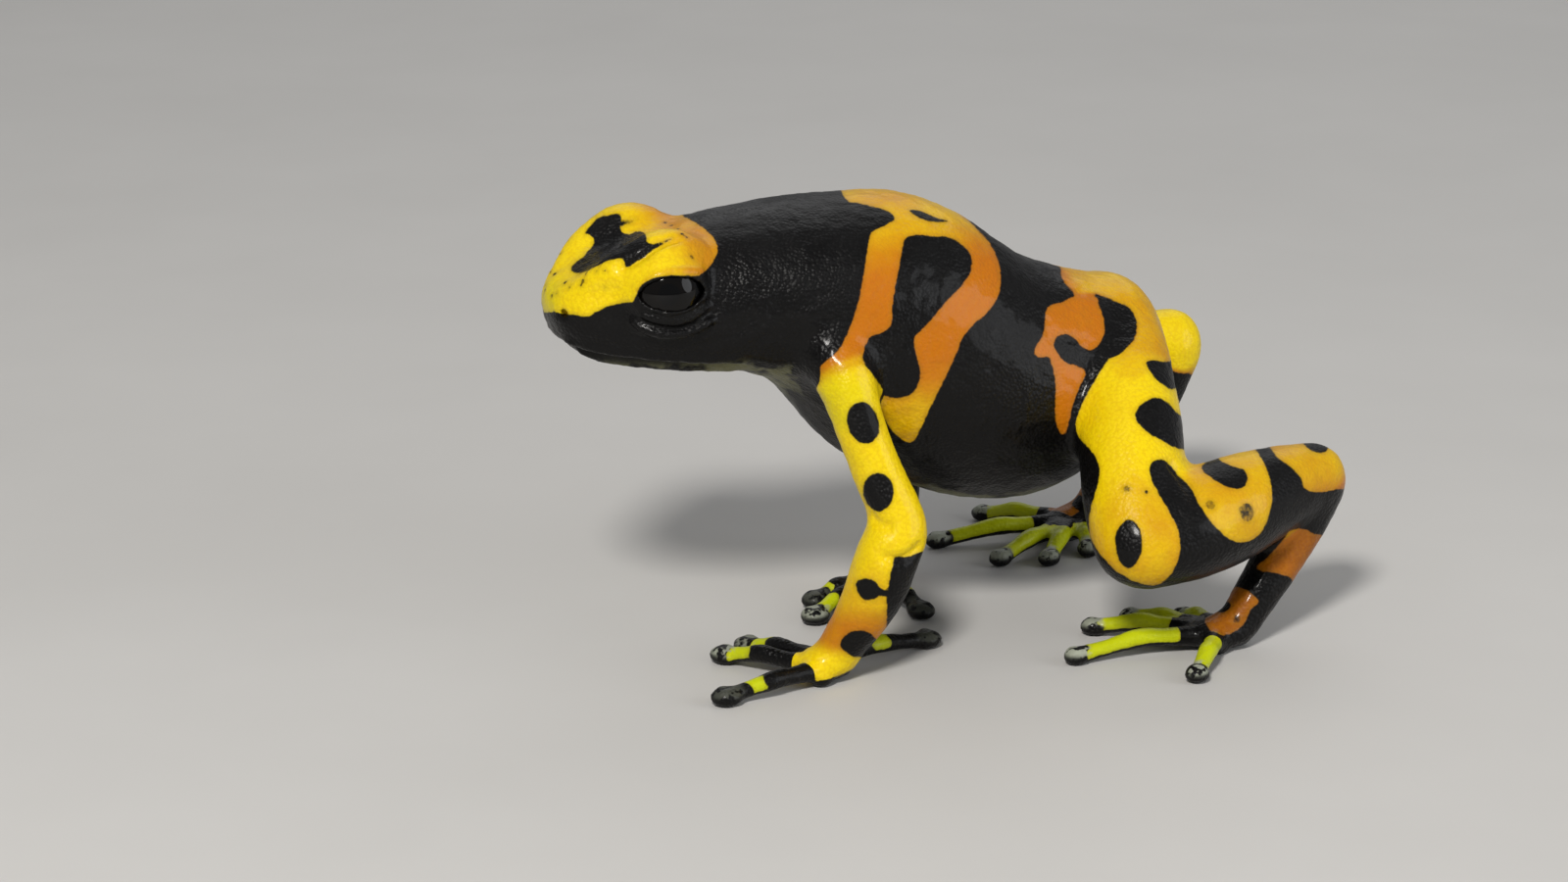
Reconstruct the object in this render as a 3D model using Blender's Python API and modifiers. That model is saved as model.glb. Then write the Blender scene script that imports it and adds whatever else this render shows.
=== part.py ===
"""A life-size standing frog: a short deep body pitched nose up, folded hind legs and straight fore legs.

The model is laid out in millimetres in a working frame: the frog faces -X, its left side faces -Y and the floor
is z = 0. The last step moves it to the part's own origin and to metres.
"""

import math

import bmesh
import bpy
import numpy as np
from mathutils import Matrix, Vector

# Driving dimensions, in millimetres and degrees.
MM = 0.001
GAP = 0.3

EYE_RADIUS = 1.85
EYE_AT = (-19.25, 3.6, 21.57)
LID_THICK = 0.38
OPENING_LONG = 1.72
OPENING_TALL = 1.0
NOSTRIL_AT = (-24.3, 1.75, 20.2)
NOSTRIL_RADIUS = 0.3

FINGER_RADIUS = 0.5
TOE_RADIUS = 0.52
FINGER_DISC = (0.95, 0.85, 0.5)
TOE_DISC = (0.8, 0.7, 0.5)

BODY_VOXEL = 0.3
SKIN_VOXEL = 0.2
BODY_ROUNDS = 26
SKIN_ROUNDS = 4
SKIN_TRIANGLES = 9000

# Head sections: x, height of the widest line, rise above it, drop below it, half width.
HEAD_SECTIONS = (
    (-24.85, 20.35, 0.5, 0.5, 0.8),
    (-24.65, 20.25, 0.95, 1.05, 1.65),
    (-24.2, 20.1, 1.45, 1.75, 2.35),
    (-23.2, 19.9, 2.2, 2.3, 3.15),
    (-22.1, 19.7, 2.95, 2.45, 3.85),
    (-21.0, 19.55, 3.5, 2.55, 4.3),
    (-19.6, 19.4, 4.0, 2.65, 4.75),
    (-18.0, 19.3, 4.5, 2.8, 5.1),
    (-16.4, 19.3, 4.85, 2.95, 5.4),
    (-14.8, 19.3, 5.15, 3.2, 5.6),
    (-13.0, 19.2, 5.35, 3.7, 5.7),
    (-11.0, 19.0, 5.5, 4.2, 5.6),
)
# 2 is an ellipse, and a higher number is nearer to a rectangle.
HEAD_SQUARENESS = 2.4

# Ridge from the nostril to the brow, and the fold under the eye: x, distance from the mid plane, height, radius.
BROW_LINE = (
    (-23.6, 1.6, 21.1, 0.75),
    (-22.5, 2.35, 21.95, 1.0),
    (-21.2, 2.95, 22.7, 1.2),
    (-19.9, 3.2, 23.15, 1.3),
)
LOWER_LID = (
    (-21.4, 4.6, 20.2, 0.22),
    (-20.3, 5.15, 19.6, 0.3),
    (-18.9, 5.4, 19.5, 0.3),
    (-17.4, 5.4, 20.1, 0.22),
)

# Torso sections in the mid plane: top x, top z, bottom x, bottom z, half width.
TORSO_SECTIONS = (
    (-16.2, 23.2, -15.8, 17.6, 4.4),
    (-14.6, 24.3, -14.2, 16.4, 5.3),
    (-12.3, 24.8, -12.9, 15.5, 5.9),
    (-8.4, 24.9, -11.3, 14.0, 6.4),
    (-4.4, 24.7, -8.8, 11.0, 6.8),
    (-0.9, 23.2, -5.4, 8.8, 7.05),
    (2.7, 20.6, -1.5, 7.3, 6.95),
    (6.6, 19.2, 2.8, 7.1, 6.3),
    (9.2, 18.8, 6.7, 8.9, 5.1),
    (10.5, 17.2, 9.2, 10.6, 3.7),
    (11.2, 15.2, 10.8, 12.4, 1.9),
)

# Limb stations: x, distance from the mid plane, height, radius.
LEFT_ARM = (
    (-10.6, 4.2, 18.2, 2.2),
    (-10.1, 6.3, 16.6, 1.75),
    (-9.7, 7.3, 14.4, 1.45),
    (-8.8, 8.2, 11.4, 1.45),
    (-7.9, 9.0, 8.7, 1.6),
    (-8.6, 9.15, 7.3, 1.8),
    (-9.2, 9.0, 5.4, 1.75),
    (-10.1, 8.6, 3.4, 1.5),
    (-10.8, 8.2, 2.2, 1.35),
)
RIGHT_ARM = (
    (-10.6, 4.2, 18.2, 2.2),
    (-9.7, 6.4, 16.6, 1.75),
    (-7.2, 7.7, 13.9, 1.45),
    (-4.4, 8.3, 10.6, 1.45),
    (-2.5, 8.1, 7.9, 1.6),
    (-2.0, 7.6, 6.6, 1.75),
    (-2.2, 6.5, 4.7, 1.6),
    (-2.9, 5.3, 2.9, 1.35),
    (-3.3, 4.8, 2.1, 1.3),
)
LEFT_LEG = (
    (7.8, 3.0, 15.1, 2.6),
    (6.9, 5.2, 13.7, 2.85),
    (6.1, 7.9, 11.7, 2.95),
    (5.1, 10.4, 9.4, 2.8),
    (4.6, 12.3, 7.4, 2.5),
)
LEFT_SHANK = (
    (4.9, 12.7, 7.2, 2.4),
    (7.6, 12.1, 7.7, 2.85),
    (10.6, 11.1, 8.2, 2.95),
    (13.8, 9.9, 8.6, 2.5),
    (16.8, 8.8, 8.8, 1.95),
)
LEFT_TARSUS = (
    (16.9, 8.8, 8.3, 1.85),
    (15.7, 9.3, 6.2, 1.6),
    (13.9, 9.9, 4.0, 1.45),
    (12.2, 10.4, 2.0, 1.3),
)
RIGHT_LEG = (
    (7.8, 3.0, 15.1, 2.6),
    (7.3, 5.2, 14.0, 2.85),
    (6.7, 7.9, 12.4, 2.95),
    (5.6, 10.4, 10.7, 2.8),
    (4.9, 12.4, 9.2, 2.5),
)
RIGHT_SHANK = (
    (5.2, 12.8, 8.9, 2.4),
    (7.9, 12.6, 9.3, 2.75),
    (10.8, 12.0, 9.9, 2.75),
    (14.0, 11.2, 10.8, 2.35),
    (16.9, 10.4, 11.6, 1.95),
)
RIGHT_TARSUS = (
    (17.0, 10.2, 11.2, 1.85),
    (16.0, 10.3, 8.3, 1.6),
    (14.3, 10.4, 5.0, 1.45),
    (12.4, 10.4, 2.1, 1.3),
)

# Palms and soles: centre, half sizes, turn about Z.
LEFT_PALM = ((-11.7, 7.8, 0.95), (2.0, 1.55, 1.0), 12.0)
RIGHT_PALM = ((-4.2, 4.1, 0.95), (1.9, 1.5, 1.0), 35.0)
LEFT_SOLE = ((10.8, 10.5, 0.95), (2.2, 1.5, 1.0), 5.0)
RIGHT_SOLE = ((11.0, 10.5, 0.95), (2.2, 1.5, 1.0), -5.0)

# Digits: knuckle, middle and tip, each as x, distance from the mid plane, height.
LEFT_FINGERS = (
    ((-12.6, 8.6, 0.9), (-15.3, 9.4, 0.95), (-18.0, 9.7, 0.45)),
    ((-12.8, 7.5, 0.9), (-14.5, 5.5, 1.05), (-15.9, 3.4, 0.45)),
    ((-11.9, 6.7, 0.9), (-13.2, 4.5, 1.0), (-14.2, 2.4, 0.45)),
    ((-10.8, 7.0, 0.9), (-7.9, 5.9, 0.95), (-4.6, 4.8, 0.45)),
)
RIGHT_FINGERS = (
    ((-5.3, 4.2, 0.9), (-6.6, 3.9, 1.0), (-8.0, 3.5, 0.45)),
    ((-5.2, 3.5, 0.9), (-7.1, 2.2, 1.0), (-9.0, 1.0, 0.45)),
    ((-4.9, 2.9, 0.9), (-6.1, 1.3, 1.0), (-7.3, -0.2, 0.45)),
    ((-3.7, 3.1, 0.9), (-3.4, 1.4, 0.95), (-3.1, -0.2, 0.45)),
)
LEFT_TOES = (
    ((9.4, 10.4, 0.85), (5.9, 10.1, 1.0), (2.1, 10.2, 0.45)),
    ((9.9, 11.4, 0.85), (8.5, 13.3, 0.95), (7.1, 15.0, 0.45)),
    ((9.3, 9.4, 0.85), (7.1, 7.6, 1.0), (4.9, 6.1, 0.45)),
    ((9.8, 9.0, 0.85), (8.7, 7.1, 0.95), (7.6, 5.3, 0.45)),
    ((10.8, 9.1, 0.85), (10.6, 7.5, 0.9), (10.4, 6.2, 0.45)),
)
RIGHT_TOES = (
    ((9.6, 10.6, 0.85), (6.2, 10.9, 1.0), (2.5, 11.1, 0.45)),
    ((10.1, 11.6, 0.85), (8.5, 13.4, 0.95), (7.0, 15.0, 0.45)),
    ((9.5, 9.6, 0.85), (7.1, 8.1, 1.0), (4.7, 6.8, 0.45)),
    ((10.0, 9.2, 0.85), (8.7, 7.5, 0.95), (7.4, 5.9, 0.45)),
    ((11.0, 9.3, 0.85), (10.6, 7.8, 0.9), (10.2, 6.6, 0.45)),
)

# Lip line along the head: x, height.
LIP_LINE = (
    (-27.0, 18.9),
    (-25.2, 18.75),
    (-24.3, 18.25),
    (-23.0, 17.95),
    (-21.5, 17.75),
    (-19.5, 17.5),
    (-17.6, 17.3),
    (-14.3, 17.05),
)

# The lip ridges: lift from the lip line, thickness and how far each stands out of the head's side.
LIP_RIDGES = ((0.36, 0.3, 0.1), (-0.36, 0.26, 0.12))


def clear_scene():
    for old in list(bpy.data.objects):
        bpy.data.objects.remove(old, do_unlink=True)


def new_collection(name):
    made = bpy.data.collections.new(name)
    bpy.context.scene.collection.children.link(made)
    return made


def add_object(name, mesh, collection):
    made = bpy.data.objects.new(name, mesh)
    collection.objects.link(made)
    return made


def evaluated_mesh(obj, name):
    """The mesh of an object with its modifiers applied, as a mesh of its own."""
    bpy.context.view_layer.update()
    graph = bpy.context.evaluated_depsgraph_get()
    mesh = bpy.data.meshes.new_from_object(obj.evaluated_get(graph))
    mesh.name = name
    return mesh


def catmull(points, steps):
    """A smooth run of stations through the given ones."""
    given = np.array(points, float)
    padded = np.vstack([2 * given[0] - given[1], given, 2 * given[-1] - given[-2]])
    out = []
    for i in range(1, len(padded) - 2):
        a, b, c, d = padded[i - 1 : i + 3]
        for t in np.linspace(0, 1, steps, endpoint=False):
            out.append(
                0.5 * (2 * b + (c - a) * t + (2 * a - 5 * b + 4 * c - d) * t**2 + (3 * b - a - 3 * c + d) * t**3)
            )
    out.append(given[-1])
    return np.array(out)


def sided(point, side):
    """A point given by its distance from the mid plane, on the left (-1) or on the right (+1)."""
    return (point[0], side * point[1], point[2])


def add_mesh(bm, mesh, matrix=None):
    if matrix is not None:
        mesh.transform(matrix)
    bm.from_mesh(mesh)
    bpy.data.meshes.remove(mesh)


def ball(bm, centre, radii, turn=None, detail=3):
    """An ellipsoid."""
    turned = turn.to_4x4() if turn is not None else Matrix.Identity(4)
    place = Matrix.Translation(centre) @ turned @ Matrix.Diagonal((*radii, 1.0))
    bmesh.ops.create_icosphere(bm, subdivisions=detail, radius=1.0, matrix=place)


def tube(bm, stations, steps=6, around=6):
    """A round tube through stations of x, y, z and radius, with a ball on each end."""
    curve = bpy.data.curves.new("tube", "CURVE")
    curve.dimensions = "3D"
    curve.bevel_depth = 1.0
    curve.bevel_resolution = around
    curve.use_fill_caps = True
    run = catmull(stations, steps)
    spline = curve.splines.new("POLY")
    spline.points.add(len(run) - 1)
    for point, (x, y, z, radius) in zip(spline.points, run):
        point.co = (x, y, z, 1.0)
        point.radius = radius
    holder = add_object("tube", curve, bpy.context.scene.collection)
    mesh = evaluated_mesh(holder, "tube")
    bpy.data.objects.remove(holder, do_unlink=True)
    bpy.data.curves.remove(curve)
    add_mesh(bm, mesh)
    for x, y, z, radius in (run[0], run[-1]):
        ball(bm, (x, y, z), (radius,) * 3)


def loft(bm, rings):
    """A closed skin through rings of the same count, with a fan on each end."""
    loops = [[bm.verts.new(p) for p in ring] for ring in rings]
    count = len(loops[0])
    for low, high in zip(loops, loops[1:]):
        for i in range(count):
            j = (i + 1) % count
            bm.faces.new((low[i], low[j], high[j], high[i]))
    for loop, ring, flip in ((loops[0], rings[0], False), (loops[-1], rings[-1], True)):
        middle = bm.verts.new(np.mean(ring, axis=0))
        for i in range(count):
            j = (i + 1) % count
            bm.faces.new((loop[j], loop[i], middle) if not flip else (loop[i], loop[j], middle))


def rounded(angle, power):
    """Cosine and sine of a superellipse."""
    c, s = math.cos(angle), math.sin(angle)
    return math.copysign(abs(c) ** (2 / power), c), math.copysign(abs(s) ** (2 / power), s)


def torso_shape(bm, count=48):
    rings = []
    for top_x, top_z, low_x, low_z, half in catmull(TORSO_SECTIONS, 4):
        top, low = Vector((top_x, 0, top_z)), Vector((low_x, 0, low_z))
        middle = top.lerp(low, 0.54)
        ring = []
        for k in range(count):
            c, s = rounded(2 * math.pi * k / count, 2.15)
            up = (top - middle) * s if s > 0 else (middle - low) * s
            ring.append(middle + up + Vector((0, half * c, 0)))
        rings.append(ring)
    loft(bm, rings)


def head_shape(bm, count=48):
    rings = []
    for x, middle, rise, drop, half in catmull(HEAD_SECTIONS, 4):
        ring = []
        for k in range(count):
            c, s = rounded(2 * math.pi * k / count, HEAD_SQUARENESS)
            ring.append(Vector((x, half * c, middle + (rise if s > 0 else drop) * s)))
        rings.append(ring)
    loft(bm, rings)


def brow_shapes(bm):
    for side in (-1, 1):
        tilt = Matrix.Rotation(math.radians(-4), 3, "Y") @ Matrix.Rotation(math.radians(side * -6), 3, "Z")
        ball(bm, sided((-19.1, 3.1, 22.2), side), (2.9, 2.15, 2.55), tilt)
        ball(bm, sided((-19.1, 3.7, 20.6), side), (2.5, 1.6, 1.9), tilt)
        tube(bm, [(*sided(p, side), r) for *p, r in BROW_LINE])


def lid_shapes(bm):
    """The shell of the lids round each eye and the fold below it."""
    for side in (-1, 1):
        eye = sided(EYE_AT, side)
        ball(bm, eye, (EYE_RADIUS + GAP + LID_THICK,) * 3)
        tube(bm, [(*sided(p, side), r) for *p, r in LOWER_LID])


def half_width_at(x, z):
    """Half the width of the head at a place along it and a height."""
    columns = np.array(HEAD_SECTIONS).T
    middle, rise, drop, half = (float(np.interp(x, columns[0], column)) for column in columns[1:])
    high = min(abs(z - middle) / (rise if z > middle else drop), 1.0)
    return half * (1 - high**HEAD_SQUARENESS) ** (1 / HEAD_SQUARENESS)


def lip_shapes(bm):
    """A soft ridge over the mouth and one under it, sinking into the head at both ends."""
    for side in (-1, 1):
        for lift, radius, proud in LIP_RIDGES:
            run = []
            for x in np.linspace(-23.9, -15.4, 9):
                chins = [(at, middle - drop) for at, middle, _, drop, _ in HEAD_SECTIONS]
                chin = float(np.interp(x, *zip(*chins)))
                z = max(float(np.interp(x, *zip(*LIP_LINE))) + lift, chin + radius)
                full = min((x + 24.4) / 1.9, (-15.0 - x) / 2.0, 1.0)
                run.append((x, side * (half_width_at(x, z) - radius + proud * full), z, radius))
            tube(bm, run, steps=4)


def digit(bm, joints, side, radius, disc):
    """One finger or toe, with a soft swelling at its joint and a disc on its tip."""
    start, middle, tip = (Vector(sided(p, side)) for p in joints)
    stations = [(*start, radius * 1.25), (*start.lerp(middle, 0.55), radius), (*middle, radius * 1.08)]
    stations += [(*middle.lerp(tip, 0.5), radius * 0.92), (*tip.lerp(middle, 0.08), radius * 0.95)]
    tube(bm, stations, steps=5, around=5)
    heading = (tip - middle).to_2d()
    turn = Matrix.Rotation(math.atan2(heading.y, heading.x), 3, "Z")
    ball(bm, tip, disc, turn)


def limb_shapes(bm):
    tube(bm, [(*sided(p, -1), r) for *p, r in LEFT_ARM])
    tube(bm, [(*sided(p, 1), r) for *p, r in RIGHT_ARM])
    for side, leg, shank, tarsus in (
        (-1, LEFT_LEG, LEFT_SHANK, LEFT_TARSUS),
        (1, RIGHT_LEG, RIGHT_SHANK, RIGHT_TARSUS),
    ):
        for run in (leg, shank, tarsus):
            tube(bm, [(*sided(p, side), r) for *p, r in run])
    for side, (centre, radii, turn) in (
        (-1, LEFT_PALM), (1, RIGHT_PALM), (-1, LEFT_SOLE), (1, RIGHT_SOLE),
    ):
        ball(bm, sided(centre, side), radii, Matrix.Rotation(math.radians(-side * turn), 3, "Z"))


def digit_shapes(bm):
    for side, digits, radius, disc in (
        (-1, LEFT_FINGERS, FINGER_RADIUS, FINGER_DISC),
        (1, RIGHT_FINGERS, FINGER_RADIUS, FINGER_DISC),
        (-1, LEFT_TOES, TOE_RADIUS, TOE_DISC),
        (1, RIGHT_TOES, TOE_RADIUS, TOE_DISC),
    ):
        for joints in digits:
            digit(bm, joints, side, radius, disc)


def tubercle_shapes(bm):
    """The low pads under each palm and sole."""
    for side, (centre, radii, turn) in (
        (-1, LEFT_PALM), (1, RIGHT_PALM), (-1, LEFT_SOLE), (1, RIGHT_SOLE),
    ):
        spin = Matrix.Rotation(math.radians(-side * turn), 3, "Z")
        for along, across in ((0.45, 0.0), (-0.35, 0.5), (-0.35, -0.5)):
            at = Vector(sided(centre, side)) + spin @ Vector((radii[0] * along, radii[1] * across, 0))
            ball(bm, (at.x, at.y, 0.45), (0.7, 0.6, 0.5), spin)


def mesh_from(name, *builders):
    bm = bmesh.new()
    for build in builders:
        build(bm)
    mesh = bpy.data.meshes.new(name)
    bm.to_mesh(mesh)
    bm.free()
    return mesh


def joined(name, *meshes):
    bm = bmesh.new()
    for mesh in meshes:
        bm.from_mesh(mesh)
    bmesh.ops.recalc_face_normals(bm, faces=bm.faces)
    mesh = bpy.data.meshes.new(name)
    bm.to_mesh(mesh)
    bm.free()
    return mesh


def melted(name, mesh, voxel, rounds, helpers):
    """One skin round every shape in the mesh, then softened."""
    holder = add_object(name, mesh, helpers)
    skin = holder.modifiers.new("skin", "REMESH")
    skin.mode = "VOXEL"
    skin.voxel_size = voxel
    soft = holder.modifiers.new("soft", "SMOOTH")
    soft.factor = 0.5
    soft.iterations = rounds
    made = evaluated_mesh(holder, name)
    bpy.data.objects.remove(holder, do_unlink=True)
    return made


def frog_skin(helpers):
    rough = joined("rough", mesh_from("trunk", torso_shape, limb_shapes, head_shape, brow_shapes))
    body = melted("body", rough, BODY_VOXEL, BODY_ROUNDS, helpers)
    whole = joined("whole", body, mesh_from("details", digit_shapes, tubercle_shapes, lid_shapes, lip_shapes))
    return melted("skin", whole, SKIN_VOXEL, SKIN_ROUNDS, helpers)


# Cutters.
def cutter_from(name, cutters, *builders):
    mesh = mesh_from(name, *builders)
    bm = bmesh.new()
    bm.from_mesh(mesh)
    bmesh.ops.recalc_face_normals(bm, faces=bm.faces)
    bm.to_mesh(mesh)
    bm.free()
    made = add_object(name, mesh, cutters)
    made.hide_render = True
    made.display_type = "WIRE"
    return made


def disc_builder(centre, normal, radius):
    """A thin round plate that parts two nodes."""
    def build(bm):
        turn = Vector(normal).to_track_quat("Z", "Y").to_matrix().to_4x4()
        bmesh.ops.create_cone(
            bm, cap_ends=True, segments=40, radius1=radius, radius2=radius, depth=GAP,
            matrix=Matrix.Translation(centre) @ turn,
        )
    return build


def bend_plate(side, joint, first, second, reach, radius):
    """A plate through a joint, square to the plane of the two limbs and halving the angle between them."""
    joint, first, second = (Vector(sided(p, side)) for p in (joint, first, second))
    one, two = (first - joint).normalized(), (second - joint).normalized()
    return disc_builder(joint + (one + two).normalized() * reach, one - two, radius)


def floor_builder(bm):
    under_floor = Matrix.Translation((0, 0, -5)) @ Matrix.Diagonal((80, 60, 10, 1))
    bmesh.ops.create_cube(bm, size=1.0, matrix=under_floor)


def mouth_builder(bm):
    """A thin curved plate along the lip line, wider than the head. It cuts before the neck does."""
    rings = []
    for x, z in LIP_LINE:
        rings.append([Vector((x, y, z + lift)) for y, lift in (
            (-9, GAP / 2), (9, GAP / 2), (9, -GAP / 2), (-9, -GAP / 2))])
    loft(bm, rings)


def socket_builder(side):
    def build(bm):
        ball(bm, sided(EYE_AT, side), (EYE_RADIUS + GAP,) * 3)
    return build


def opening_builder(side):
    """The almond opening between the lids."""
    def build(bm):
        eye = Vector(sided(EYE_AT, side))
        look = Vector((-0.12, side * 1.0, 0.12)).normalized()
        along = Vector((1.0, side * 0.12, -0.02)).normalized()
        rise = look.cross(along).normalized()
        rise = rise if rise.z > 0 else -rise
        near, far = [], []
        for k in range(28):
            angle = 2 * math.pi * k / 28
            c, s = rounded(angle, 1.8)
            tall = OPENING_TALL * (0.9 if s > 0 else 1.0)
            edge = eye + along * (OPENING_LONG * c) + rise * (tall * s - 0.05)
            near.append(edge + look * 1.0)
            far.append(edge + look * 4.0)
        loft(bm, [near, far])
    return build


def nostril_builder(side):
    def build(bm):
        tilt = Matrix.Rotation(math.radians(side * 35), 3, "Z")
        ball(bm, sided(NOSTRIL_AT, side), (NOSTRIL_RADIUS * 1.3, 1.0, NOSTRIL_RADIUS), tilt)
    return build


def subtract(mesh, cutter, helpers):
    holder = add_object("cutting", mesh, helpers)
    cut = holder.modifiers.new("cut", "BOOLEAN")
    cut.operation = "DIFFERENCE"
    cut.solver = "EXACT"
    cut.object = cutter
    made = evaluated_mesh(holder, "cut")
    bpy.data.objects.remove(holder, do_unlink=True)
    return made


def loose_parts(mesh):
    """The separate bodies of a mesh, largest first."""
    bm = bmesh.new()
    bm.from_mesh(mesh)
    bm.verts.index_update()
    seen = set()
    parts = []
    for start in bm.verts:
        if start.index in seen:
            continue
        stack, island = [start], []
        seen.add(start.index)
        while stack:
            vert = stack.pop()
            island.append(vert)
            for edge in vert.link_edges:
                other = edge.other_vert(vert)
                if other.index not in seen:
                    seen.add(other.index)
                    stack.append(other)
        order = {vert.index: i for i, vert in enumerate(island)}
        faces = {face for vert in island for face in vert.link_faces}
        faces = sorted(faces, key=lambda face: face.index)
        points = np.array([vert.co[:] for vert in island])
        parts.append((points, [[order[v.index] for v in face.verts] for face in faces]))
    bm.free()
    return sorted(parts, key=lambda part: -len(part[0]))


# Plates that part the limbs: name, centre, normal, radius.
CUT_PLATES = (
    ("neck", (-14.7, 0.0, 19.5), (1.0, 0.0, 0.12), 8.5),
    ("shoulder_left", (-9.8, -6.95, 15.1), (-0.3, -0.66, -0.68), 2.7),
    ("shoulder_right", (-5.9, 7.95, 12.4), (0.56, 0.23, -0.78), 2.2),
    ("wrist_left", (-10.3, -8.5, 3.0), (0.42, -0.2, 1.0), 2.6),
    ("wrist_right", (-2.9, 5.3, 2.9), (0.3, 0.3, 0.9), 2.3),
    ("hip_left", (6.5, -7.0, 12.4), (0.05, -1.0, -0.35), 5.2),
    ("hip_right", (6.9, 7.0, 12.9), (0.05, 1.0, -0.3), 5.2),
    ("ankle_left", (12.4, -10.3, 2.4), (0.6, 0.15, 0.8), 2.6),
    ("ankle_right", (12.6, 10.4, 2.5), (0.55, 0.0, 0.85), 2.6),
)

# Plates across a bend: name, side, joint, a point on each limb, reach inwards, radius.
BEND_PLATES = (
    ("elbow_left", -1, LEFT_ARM[5], LEFT_ARM[3], LEFT_ARM[6], 0.3, 3.4),
    ("elbow_right", 1, RIGHT_ARM[5], RIGHT_ARM[3], RIGHT_ARM[6], 0.3, 3.4),
    ("knee_left", -1, LEFT_SHANK[0], LEFT_LEG[1], LEFT_SHANK[3], 3.0, 6.3),
    ("knee_right", 1, RIGHT_SHANK[0], RIGHT_LEG[1], RIGHT_SHANK[3], 3.0, 6.3),
    ("heel_left", -1, LEFT_TARSUS[0], LEFT_SHANK[1], LEFT_TARSUS[3], 2.0, 4.8),
    ("heel_right", 1, RIGHT_TARSUS[0], RIGHT_SHANK[1], RIGHT_TARSUS[3], 2.0, 4.8),
)

# A point in or on each node tells the parts apart.
NODE_SEEDS = {
    "head": (-19.0, 0.0, 23.0),
    "lower_jaw": (-19.0, 0.0, 17.3),
    "torso": (-2.0, 0.0, 23.6),
    "upper_arm_left": (-8.9, -8.1, 11.7),
    "forearm_left": (-9.0, -9.0, 5.6),
    "hand_left": (-12.0, -7.8, 1.0),
    "upper_arm_right": (-4.6, 8.2, 11.0),
    "forearm_right": (-2.2, 6.5, 4.7),
    "hand_right": (-4.5, 4.0, 1.0),
    "thigh_left": (5.3, -10.4, 9.6),
    "shank_left": (11.0, -11.1, 7.8),
    "tarsus_left": (14.6, -9.7, 4.9),
    "foot_left": (9.8, -10.4, 0.9),
    "thigh_right": (5.8, 10.4, 10.9),
    "shank_right": (11.2, 11.9, 9.9),
    "tarsus_right": (14.6, 10.4, 5.6),
    "foot_right": (9.8, 10.5, 0.9),
}

LEATHERY = (0.012, 0.011, 0.012, 1.0)
YELLOW = (0.85, 0.6, 0.01, 1.0)
ORANGE = (0.45, 0.16, 0.01, 1.0)
NODE_COLOURS = {
    "head": YELLOW, "lower_jaw": LEATHERY, "torso": LEATHERY,
    "upper_arm_left": YELLOW, "upper_arm_right": YELLOW, "forearm_left": YELLOW, "forearm_right": YELLOW,
    "hand_left": LEATHERY, "hand_right": LEATHERY, "thigh_left": YELLOW, "thigh_right": YELLOW,
    "shank_left": LEATHERY, "shank_right": LEATHERY, "tarsus_left": ORANGE, "tarsus_right": ORANGE,
    "foot_left": YELLOW, "foot_right": YELLOW, "eye_left": LEATHERY, "eye_right": LEATHERY,
}


def material_for(name):
    made = bpy.data.materials.new(name + "_paint")
    made.use_nodes = True
    shader = made.node_tree.nodes["Principled BSDF"]
    shader.inputs["Base Color"].default_value = NODE_COLOURS[name]
    shader.inputs["Roughness"].default_value = 0.12 if name.startswith("eye") else 0.38
    return made


def finish_node(name, points, faces, collection):
    """One node of the part, in metres and smooth shaded."""
    mesh = bpy.data.meshes.new(name)
    mesh.from_pydata([tuple(p) for p in points], [], faces)
    mesh.materials.append(material_for(name))
    made = add_object(name, mesh, collection)
    mesh.shade_smooth()
    return made


def build():
    clear_scene()
    frog = new_collection("yellow_banded_frog")
    cutters = new_collection("cutters")
    cutters.hide_render = True
    helpers = bpy.context.scene.collection

    skin = frog_skin(helpers)
    holder = add_object("thinning", skin, helpers)
    thin = holder.modifiers.new("thin", "DECIMATE")
    holder.data.calc_loop_triangles()
    thin.ratio = SKIN_TRIANGLES / len(holder.data.loop_triangles)
    mesh = evaluated_mesh(holder, "thin")
    bpy.data.objects.remove(holder, do_unlink=True)

    tools = [cutter_from("cut_floor", cutters, floor_builder)]
    tools += [cutter_from("cut_mouth", cutters, mouth_builder)]
    for side, word in ((-1, "left"), (1, "right")):
        tools.append(cutter_from("cut_opening_" + word, cutters, opening_builder(side)))
        tools.append(cutter_from("cut_socket_" + word, cutters, socket_builder(side)))
        tools.append(cutter_from("cut_nostril_" + word, cutters, nostril_builder(side)))
    for name, centre, normal, radius in CUT_PLATES:
        tools.append(cutter_from("cut_" + name, cutters, disc_builder(centre, normal, radius)))
    for name, *bend in BEND_PLATES:
        tools.append(cutter_from("cut_" + name, cutters, bend_plate(*bend)))
    for tool in tools:
        mesh = subtract(mesh, tool, helpers)

    parts = [part for part in loose_parts(mesh) if len(part[0]) > 60]
    pieces = []
    for name, seed in NODE_SEEDS.items():
        nearest = min(parts, key=lambda part: np.linalg.norm(part[0] - np.array(seed), axis=1).min())
        pieces.append((name, *nearest))
    for side, word in ((-1, "left"), (1, "right")):
        bm = bmesh.new()
        ball(bm, sided(EYE_AT, side), (EYE_RADIUS,) * 3)
        bm.verts.index_update()
        points = np.array([v.co[:] for v in bm.verts])
        pieces.append(("eye_" + word, points, [[v.index for v in f.verts] for f in bm.faces]))
        bm.free()

    every = np.vstack([points for _, points, _ in pieces])
    low, high = every.min(axis=0), every.max(axis=0)
    shift = -np.array([(low[0] + high[0]) / 2, (low[1] + high[1]) / 2, low[2]])
    for name, points, faces in pieces:
        finish_node(name, (points + shift) * MM, faces, frog)
    for tool in tools:
        tool.data.transform(Matrix.Scale(MM, 4) @ Matrix.Translation(shift))
    return shift


SHIFT = build()
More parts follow.
